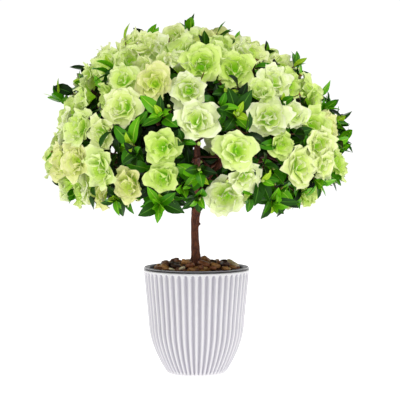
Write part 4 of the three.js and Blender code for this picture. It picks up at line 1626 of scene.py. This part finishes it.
    def twigs(self, masses: Array) -> Surface:
        """Wraps the stems, the shoots and the finer twigs of some masses in bark.

        Args:
            masses: their numbers.

        Returns:
            The bark of them all, green on the flowers' stalks.
        """
        shoots, blooms = self.shoots, self.blooms
        own = np.isin(shoots.mass, masses)
        flowering = own & shoots.flowers
        stems = np.array([(self.rule.masses[i].entry, self.rule.masses[i].hub) for i in masses])
        stem_root, stem_end = stems[:, 0], stems[:, 1]
        first = np.flatnonzero(np.isin(blooms.mass[: int(shoots.flowers.sum())], masses))
        fine, borne = ((twigs, np.isin(twigs.mass, masses)) for twigs in (self.fine, self.flower_twigs))
        # Their roots, ends and axes, the radii at both, the corners and the finish.
        kinds = (
            (stem_root, stem_end, unit(stem_end - stem_root), 2.4, 2.0, 8, 0),
            (shoots.root[own], shoots.elbow[own], shoots.axis[own], 1.7, 1.05, 6, 0),
            (shoots.elbow[flowering], blooms.base[first], blooms.axis[first], 1.0, 1.25, 6, 1),
            *(
                (twigs.root[some], twigs.end[some], twigs.axis[some], thick, slim, 5, 0)
                for (twigs, some), thick, slim in ((fine, 1.05, 0.7), (borne, 1.2, 1.1))
            ),
        )
        share = np.linspace(0, 1, self.twig_steps)[None]
        parts = []
        for root, end, axis, thick, slim, corners, finish in kinds:
            radii = np.repeat(thick + (slim - thick) * share, len(root), axis=0)
            parts.append(tubes(self.bent(root, end, axis), radii, corners).painted(finish))
        return gathered(parts)

    def tufts(self) -> list[Tuft]:
        """Lists every kind of whorl, from those under the flowers to those of the long young shoots.

        Returns:
            The whorls of each kind.
        """
        shoots, fine, side = self.shoots, self.fine, self.flower_twigs
        under, bare = (
            (shoots.elbow[own], shoots.axis[own], shoots.mass[own])
            for own in (shoots.flowers, ~shoots.flowers)
        )
        behind = side.end - side.axis * self.rule.behind_flower
        layers = [
            (fine.end[own], fine.axis[own], fine.mass[own])
            for own in (fine.layer == number for number in range(len(LAYERS) + 1))
        ]
        return [
            Tuft(*under, 5, (52, 80), 36, (0, 3)),
            Tuft(behind, side.axis, side.mass, 4, (45, 80), 33, (0, 3)),
            Tuft(*bare, 6, (34, 70), 36, (1, 4)),
            Tuft(*bare, 3, (12, 34), 22, (3, 5), -2),
            *(Tuft(*at, own.leaves, own.spread, own.length, own.ages) for at, own in zip(layers, LAYERS)),
            Tuft(*layers[-1], 5, (40, 75), 32, (1, 4), 4),
            Tuft(*layers[-1], 4, (12, 40), 27, (2, 5), 0.5),
        ]

    def laid_out(self, tuft: Tuft, number: int) -> dict[str, Array]:
        """Lays out the leaves of one kind of whorl, evenly round each end and one behind the other.

        Args:
            tuft: the whorls.
            number: their place in the list, which salts their seeds.

        Returns:
            For each leaf its foot, way, upper side, length, curl, age and mass, in one row each.
        """
        count = tuft.leaves
        salt = (np.arange(len(tuft.ends))[:, None] * 7 + np.arange(count)[None]) + 977 * number
        turn = (np.arange(count)[None] + chance(salt[:, :1] + 11) + 0.35 * chance(salt + 23)) * TURN / count
        (low, high), (oldest, beyond) = tuft.spread, tuft.ages
        tilt = np.radians(low + (high - low) * chance(salt + 37))[..., None]
        side, lift = square_to(tuft.axes)
        out = round_about(turn, side[:, None], lift[:, None])
        axis = np.broadcast_to(tuft.axes[:, None], out.shape)
        steps = (tuft.setback + self.leaf_step * np.arange(count))[None, :, None]
        stiff = self.young_curl if tuft.setback > 0 else 1.0
        return {
            "foot": (tuft.ends[:, None] - axis * steps + out * 0.6).reshape(-1, 3),
            "way": (axis * np.cos(tilt) + out * np.sin(tilt)).reshape(-1, 3),
            "top": (axis * np.sin(tilt) - out * np.cos(tilt)).reshape(-1, 3),
            "length": (tuft.length * varied(self.leaf_lengths, salt + 53)).ravel(),
            "curl": (stiff * varied(self.leaf_curls, salt + 71)).ravel(),
            "age": (oldest + (beyond - oldest) * chance(salt + 97) ** 1.3).astype(int).ravel(),
            "mass": np.repeat(tuft.masses, count),
        }

    def whorls(self) -> dict[str, Array]:
        """Gathers every leaf of the crown, without those in the openings and those that hide a flower.

        Returns:
            The rows of laid_out for the leaves that are kept.
        """
        parts = [self.laid_out(tuft, number) for number, tuft in enumerate(self.tufts())]
        plan = {key: np.concatenate([part[key] for part in parts]) for key in parts[0]}
        middle = plan["foot"] + 0.5 * plan["length"][:, None] * plan["way"]
        tip = plan["foot"] + 0.9 * plan["length"][:, None] * plan["way"]
        kept = ~self.hides_blossom(plan) & ~in_openings(middle) & ~in_openings(tip)
        return {key: value[kept] for key, value in plan.items()}

    def hides_blossom(self, plan: dict[str, Array]) -> Array:
        """Finds the leaves whose outer half would lie among a flower's petals or in front of them.

        Args:
            plan: the leaves.

        Returns:
            Whether each of them does.
        """
        rule, blooms = self.rule, self.blooms
        hidden = np.zeros(len(plan["age"]), bool)
        for share in (0.5, 0.75, 1.0):
            curl = plan["curl"][:, None] * share
            arc = plan["length"][:, None] / plan["curl"][:, None]
            place = plan["foot"] + arc * (plan["way"] * np.sin(curl) - plan["top"] * (1 - np.cos(curl)))
            offset = place[:, None] - blooms.base[None]
            up = np.sum(offset * blooms.axis[None], -1)
            across = np.sqrt(np.maximum(np.sum(offset**2, -1) - up**2, 0))
            size = blooms.size[None]
            reach = rule.flower_radius * size * np.clip(0.2 + 0.8 * up / (rule.flower_depth * size), 0, 0.92)
            hidden |= np.any((up > 2) & (up < 60) & (across < reach), axis=1)
        return hidden

    def leaves(self, plan: dict[str, Array], masses: Array) -> Surface:
        """Shapes the leaves of some masses.

        The middle line of a leaf is an arc that curls down, its half-width is a power of a sine, so it has
        a short stalk and a blunt point, and its two halves rise from the rib in a shallow fold.

        Args:
            plan: the crown's leaves.
            masses: their numbers.

        Returns:
            The leaves, with two finishes for each age.
        """
        own = np.isin(plan["mass"], masses)
        foot, way, top = (plan[key][own][:, None, None] for key in ("foot", "way", "top"))
        length, curl = (plan[key][own][:, None, None, None] for key in ("length", "curl"))
        age = plan["age"][own]
        salt = np.arange(len(plan["age"]))[own][:, None, None, None]
        u = np.linspace(0, 1, self.leaf_rows)[None, :, None, None]
        v = np.array(self.leaf_columns)[None, None, :, None]
        side = np.cross(way, top)
        bend = curl * u
        line = foot + length * (way * np.sin(bend) / curl - top * (1 - np.cos(bend)) / curl)
        normal = top * np.cos(bend) + way * np.sin(bend)
        outline = 0.06 + np.sin(math.pi * u**0.86) ** 0.85
        width = length * varied(self.leaf_widths, salt + 3) * outline
        fold = varied(self.leaf_folds, salt + 9)
        wave = 0.07 * np.sin(TURN * (1.5 * u + chance(salt + 15))) * v
        points = line + side * v * width + normal * width * (np.abs(v) * fold + wave)
        surface = grid(points, flipped=True)
        strips = len(self.leaf_columns) - 1
        rib = np.arange(strips) == strips // 2
        kind = age[:, None, None] * 2 + rib[None, None, :]
        return surface.painted(np.broadcast_to(kind, (len(age), self.leaf_rows - 1, strips)).ravel())

    def buds(self, masses: Array) -> Surface:
        """Sets a pointed bud at the end of bare shoots and of every third fine twig near the outline.

        Args:
            masses: their numbers.

        Returns:
            The buds, brown at the foot and green above.
        """
        shoots, fine = self.shoots, self.fine
        bare = ~shoots.flowers & np.isin(shoots.mass, masses)
        some = (fine.layer < 2) & np.isin(fine.mass, masses) & (np.arange(len(fine.mass)) % 3 == 0)
        ends = np.concatenate([shoots.elbow[bare], fine.end[some]])
        axes = np.concatenate([shoots.axis[bare], fine.axis[some]])
        length = varied(self.bud_lengths, np.arange(len(ends)) + 61)
        rows = np.linspace(0, 1, 8)[1:-1]
        paths = ends[:, None] + axes[:, None] * (rows[:, None] * length[:, None, None])
        radii = 0.3 * length[:, None] * np.sin(math.pi * rows**0.75)[None]
        scales, swelling = 0, 1
        upper = np.where(rows[:-1] > 0.4, swelling, scales)[:, None]
        shape = (len(ends), len(upper), self.bud_corners)
        return tubes(paths, radii, self.bud_corners).painted(tube_finish(upper, scales, swelling, shape))

    def build(self) -> None:
        """Makes the twigs, leaves, buds and blossom of each group of masses."""
        plan = self.whorls()
        counts = (len(self.blooms.size), len(self.fine.end), len(plan["age"]))
        log.info("%d flowers, %d fine twigs, %d leaves", *counts)
        leaf_finishes = [finish for age in LeafAge for finish in age.finishes()]
        petal_finishes = [finish for tint in PETAL_TINTS for finish in tint.steps(PETAL_STEPS)]
        blossom = Blossom(self.rule.flower_radius, self.blooms)
        slot = "blossom_and_leaves"
        for label, masses in self.groups():
            nodes = [f"mass_{self.rule.masses[i].name}" for i in masses]
            make_piece(f"twigs_{label}", self.twigs(masses), [TWIG_BARK, GREEN_TWIG_BARK], "bark", *nodes)
            make_piece(f"leaves_{label}", self.leaves(plan, masses), leaf_finishes, slot, *nodes)
            make_piece(f"buds_{label}", self.buds(masses), [BUD_SCALE, BUD_TIP], slot, *nodes)
            make_piece(f"blossom_{label}", blossom.petals_of(masses), petal_finishes, slot, *nodes)

    def groups(self) -> list[tuple[str, Array]]:
        """Groups the masses by three within each tier.

        Returns:
            The label of each group and the numbers of its masses.
        """
        found = []
        for tier in Tier:
            own = np.array([i for i, mass in enumerate(self.rule.masses) if mass.tier is tier])
            for start in range(0, len(own), 3):
                label = tier.value[0] if len(own) == 1 else f"{tier.value[0]}_{start + 1}_to_{start + 3}"
                found.append((label, own[start : start + 3]))
        return found


# Blossom


@dataclass(frozen=True)
class Whorl:
    """One ring of petals in a double flower, with lengths as shares of the flower's radius.

    first is the first petal's turn, counted in petals. opens_from and opens_to are the petals' angles from
    the flower's axis at the tube and near the tip, in degrees, uneven is how far single petals differ in
    that, and curl is how far the tip turns back in. cup raises a petal's sides and ruffle its waves. lean is
    how far the ring tilts off the flower's axis, and zones gives each row of faces its step of colour.
    """

    petals: int
    first: float
    length: float
    width: float
    opens_from: float
    opens_to: float
    uneven: float
    curl: float
    cup: float
    ruffle: float
    lean: float
    zones: tuple[int, ...]


# From the outer ring to the heart.
WHORLS = (
    Whorl(5, 0.0, 1.46, 0.7, 22, 84, 20, -12, 0.06, 0.13, 0.0, (1, 2, 3, 4, 5, 6, 6, 7)),
    Whorl(5, 0.5, 1.24, 0.62, 18, 64, 30, -8, 0.12, 0.14, 0.1, (0, 1, 2, 3, 4, 5, 6, 7)),
    Whorl(3, 0.1, 1.0, 0.54, 14, 42, 46, 4, 0.22, 0.16, 0.24, (0, 0, 1, 2, 3, 4, 6, 7)),
    Whorl(2, 0.6, 0.74, 0.38, 8, 26, 34, 10, 0.34, 0.12, 0.34, (0, 0, 0, 1, 2, 4, 5, 7)),
)


@dataclass
class Blossom:
    """The double flowers, each of several whorls of ruffled petals that part from a narrow tube."""

    radius: float
    blooms: Blooms
    rows: int = 9
    columns: int = 11
    line_steps: int = 32
    lengths: Pair = (0.82, 0.28)  # the shortest petal of a ring, and how much longer others are
    widths: Pair = (0.88, 0.24)
    waves: Pair = (1.0, 0.8)  # how many a margin has on either side
    misplaced: float = 0.36  # greatest turn between two petals' errors of place, in radians
    tube_radius: float = 0.06
    pistil_height: float = 0.4
    pistil_radii: tuple[float, ...] = (0.055, 0.085, 0.07, 0.065, 0.085, 0.05)
    pistil_corners: int = 7

    def middle_lines(self, whorl: Whorl, flower: Array, salt: Array) -> list[Array]:
        """Follows each petal's middle line, whose steps are sines and cosines of its angle from the axis.

        Args:
            whorl: the ring of petals.
            flower: the row of each petal's flower.
            salt: the seed of each petal.

        Returns:
            The way out, the height and the angle at the line's points.
        """
        length = self.radius * self.blooms.size[flower] * whorl.length * varied(self.lengths, salt + 1)
        start = math.radians(whorl.opens_from)
        wide = whorl.opens_to * self.blooms.open[flower] + whorl.uneven * (chance(salt + 3) - 0.5)
        along = np.linspace(0, 1, self.line_steps + 1)[None]
        opened = (np.radians(wide) - start)[:, None] * eased(along * 1.15)
        angle = start + opened - math.radians(whorl.curl) * along**5
        step = length[:, None] / self.line_steps
        sums = [np.cumsum(wave(angle) * step, 1) - wave(angle[:, :1]) * step for wave in (np.sin, np.cos)]
        return [*sums, angle]

    def directions(self, whorl: Whorl, flower: Array, salt: Array) -> tuple[Array, Array, Array]:
        """Turns each petal to its place in the ring and leans the ring with its flower's seed.

        Args:
            whorl: the ring of petals.
            flower: the row of each petal's flower.
            salt: the seed of each petal.

        Returns:
            The ways outward, sideways and along the ring's axis for each petal.
        """
        place = np.arange(len(flower)) % whorl.petals + whorl.first
        spin = TURN * (chance(flower + 501) + place / whorl.petals)
        spin = spin + self.misplaced * (chance(salt + 12) - 0.5)
        axis = self.blooms.axis[flower]
        axis = unit(axis + whorl.lean * round_about(TURN * chance(flower + 551), *square_to(axis)))
        radial = round_about(spin, *square_to(axis))
        return radial, np.cross(axis, radial), axis

    def petals(self, whorl: Whorl, number: int, flowers: Array) -> Surface:
        """Shapes one whorl of petals for some flowers.

        Across its middle line a petal is an arc round the axis that flattens towards the tip. Its half-width
        closes the tube at first, then widens to a broad end. Waves that run round the margin lift it.

        Args:
            whorl: the ring of petals.
            number: the whorl's place in the flower, which salts its seeds.
            flowers: the rows of the flowers.

        Returns:
            The petals, with a finish for each step of colour.
        """
        flower = np.repeat(flowers, whorl.petals)
        salt = flower * 31 + np.tile(np.arange(whorl.petals), len(flowers)) + 4001 * number
        radius = (self.radius * self.blooms.size[flower])[:, None, None]
        blade = radius * whorl.width * varied(self.widths, salt + 2)[:, None, None]
        u = np.linspace(0, 1, self.rows)[None, :, None]
        v = np.linspace(-1, 1, self.columns)[None, None, :]
        phase = [TURN * chance(salt + k)[:, None, None] for k in (4, 5, 6, 7)]
        frill = 0.03 * u**4 * np.sin(TURN * 1.25 * v + phase[0])
        q = u * (0.97 - 0.3 * u**2 * np.abs(v) ** 3 + frill)  # the end is rounded and a little frayed
        r, z, theta = (looked_up(line, q) for line in self.middle_lines(whorl, flower, salt))
        r = r + radius * self.tube_radius
        part = eased(u / 0.5)  # how far the petals have parted
        shape = np.sin(math.pi * (0.08 + 0.64 * u)) ** 0.8
        half = r * (math.pi / whorl.petals) * 1.06 * (1 - part) + blade * shape * part
        flat = part * blade * 1.5
        around = half * v / (r + flat)
        margin = v * (0.8 - 0.3 * u)
        wavy = np.maximum(np.abs(v) ** 2.5 * eased(u * 1.4), u**5)
        count = varied(self.waves, salt + 9)[:, None, None]
        ruffle = np.sin(TURN * count * margin + phase[1]) + 0.45 * np.sin(TURN * 2.6 * margin + phase[2])
        swell = 0.5 * np.sin(TURN * 0.45 * v + phase[3]) * u**2
        lift = radius * whorl.ruffle * (wavy * ruffle + swell) + whorl.cup * half * v**2 * part
        lift = lift - 0.03 * radius * np.exp(-((v / 0.25) ** 2)) * part  # the crease along the middle
        lift = lift + half * v * u * 0.5 * (chance(salt + 10) - 0.5)[:, None, None]  # a twist
        reach, sideways = (r + flat) * np.cos(around) - flat, (r + flat) * np.sin(around)
        x = reach - np.cos(theta) * np.cos(around) * lift
        y = sideways - np.cos(theta) * np.sin(around) * lift
        z = z + np.sin(theta) * lift
        ways = self.directions(whorl, flower, salt)
        points = sum(share[..., None] * way[:, None, None] for share, way in zip((x, y, z), ways))
        surface = grid(self.blooms.base[flower][:, None, None] + points, flipped=True)
        kind = self.first_step(flower)[:, None, None] + np.array(whorl.zones)[None, :, None]
        return surface.painted(np.broadcast_to(kind, (len(flower), self.rows - 1, self.columns - 1)).ravel())

    def first_step(self, flowers: Array) -> Array:
        """Gives each flower one of the tints, as the number of its first step of colour."""
        return (chance(flowers + 6301) * len(PETAL_TINTS)).astype(int) * PETAL_STEPS

    def pistils(self, flowers: Array) -> Surface:
        """Closes each flower's tube with its pistil, a rod along the axis that swells to a rounded knob.

        Args:
            flowers: the rows of the flowers.

        Returns:
            The pistils.
        """
        radius = self.radius * self.blooms.size[flowers]
        axis = self.blooms.axis[flowers][:, None]
        rise = np.linspace(0, self.pistil_height, len(self.pistil_radii))
        paths = self.blooms.base[flowers][:, None] + axis * (radius[:, None] * rise)[..., None]
        rods = tubes(paths, radius[:, None] * np.array(self.pistil_radii), self.pistil_corners)
        kind = self.first_step(flowers) + 1
        shape = (len(flowers), len(rise) - 1, self.pistil_corners)
        return rods.painted(tube_finish(kind[:, None, None], kind, kind, shape))

    def petals_of(self, masses: Array) -> Surface:
        """Gathers the whorls and pistils of every flower of some masses."""
        own = np.flatnonzero(np.isin(self.blooms.mass, masses))
        return gathered([*(self.petals(ring, i, own) for i, ring in enumerate(WHORLS)), self.pistils(own)])


# The studio


@dataclass(frozen=True)
class Lamp:
    """A square soft lamp: its name, its place and its side in metres, and its power in watts."""

    name: str
    place: tuple[float, float, float]
    size: float
    power: float
    lit_height: float = 0.3  # where it is aimed, in metres

    def build(self) -> None:
        """Adds the lamp and faces it to the crown."""
        data = bpy.data.lights.new(self.name, "AREA")
        data.shape, data.size, data.energy = "SQUARE", self.size, self.power
        aim(linked(self.name, data), Vector(self.place), Vector((0, 0, self.lit_height)))


LAMPS = (
    Lamp("key_lamp", (1.3, -1.7, 2.1), 0.8, 25),
    Lamp("fill_lamp", (-1.7, -1.3, 2.0), 1.0, 11),
    Lamp("back_lamp", (-0.4, 1.8, 1.9), 1.2, 12),
)


def aim(item: bpy.types.Object, place: Vector, target: Vector) -> None:
    """Stands a lamp or camera at its place and faces it to a target, both in metres."""
    item.location, item.rotation_mode = place, "QUATERNION"
    item.rotation_quaternion = (target - place).to_track_quat("-Z", "Y")


@dataclass
class Studio:
    """The pale floor, the soft lamps and the camera at the photograph's place."""

    target: tuple[float, float, float] = (5.25, 0.0, 259.5)  # the picture's middle
    distance: float = 2100.0
    camera_height: float = 357.0
    view_width: float = 600.0
    sensor: float = 36.0
    clip: Pair = (0.05, 60.0)  # the nearest and furthest that the camera sees, in metres
    floor_half: float = 6000.0
    horizon: float = 1.04  # brightness of the surroundings near the floor's edge
    dome: float = 0.5  # and high above it
    fade: Pair = (0.2, 0.42)  # sine of the elevations between which it changes

    def add_camera(self) -> None:
        """Sets the camera level with the crown's lower half and aims it at the picture's middle."""
        data = bpy.data.cameras.new("camera")
        camera = linked("camera", data)
        place = Vector((self.target[0], -self.distance, self.camera_height)) * MM
        aim(camera, place, Vector(self.target) * MM)
        data.sensor_width = self.sensor
        data.lens = self.sensor * self.distance / self.view_width
        data.clip_start, data.clip_end = self.clip
        bpy.context.scene.camera = camera

    def light_horizon(self) -> None:
        """Makes the surroundings white near the level of the floor's edge and dimmer above."""
        world = bpy.data.worlds.new("white_surroundings")
        bpy.context.scene.world = world
        world.use_nodes = True
        tree = world.node_tree
        tree.nodes.clear()
        way = add_node(tree, "ShaderNodeTexCoord")
        parts = add_node(tree, "ShaderNodeSeparateXYZ", links={"Vector": way.outputs["Generated"]})
        low, high = self.fade
        strength = add_node(
            tree,
            "ShaderNodeMapRange",
            settings={"interpolation_type": "SMOOTHSTEP"},
            values={"From Min": low, "From Max": high, "To Min": self.horizon, "To Max": self.dome},
            links={"Value": parts.outputs["Z"]},
        )
        light = add_node(
            tree,
            "ShaderNodeBackground",
            values={"Color": (1, 1, 1, 1)},
            links={"Strength": strength.outputs["Result"]},
        )
        add_node(tree, "ShaderNodeOutputWorld", links={"Surface": light.outputs["Background"]})

    def build(self) -> None:
        """Adds the floor, the lamps, the white surroundings and the camera."""
        corners = np.array([[-1, -1, 0], [1, -1, 0], [1, 1, 0], [-1, 1, 0]]) * self.floor_half
        mesh = bpy.data.meshes.new("floor")
        mesh.from_pydata((corners * MM).tolist(), [], [(0, 1, 2, 3)])
        mesh.materials.append(STUDIO_PAPER.material())
        linked("floor", mesh)
        for lamp in LAMPS:
            lamp.build()
        self.light_horizon()
        bpy.context.scene.view_settings.view_transform = "Standard"
        self.add_camera()


def top_of(node: str) -> float:
    """Gives the highest level of a solid in millimetres."""
    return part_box(node)[1].z / MM


def main() -> None:
    """Builds the plant from the pot up, then the studio."""
    logging.basicConfig(level=logging.INFO, format="%(message)s")
    rule = CrownRule()
    rule.plan_masses()
    shoots = rule.settle()
    log.info("%d shoots, %d of them in flower", len(shoots.mass), int(shoots.flowers.sum()))
    CoverPot(height=top_of("pot_cover"), rim_radius=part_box("pot_cover")[1].x / MM).build()
    liner = PotLiner(top=top_of("pot_liner"), flange_radius=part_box("pot_liner")[1].x / MM)
    liner.build()
    filling = SoilAndBark(liner=liner, collar_height=top_of("root_ball"))
    filling.build_soil()
    filling.build_bark()
    wood = Wood(rule=rule, ground=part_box("trunk")[0].z / MM)
    wood.build_stem()
    wood.build_boughs()
    Foliage(rule=rule, shoots=shoots).build()
    Studio().build()


if __name__ == "__main__":
    main()
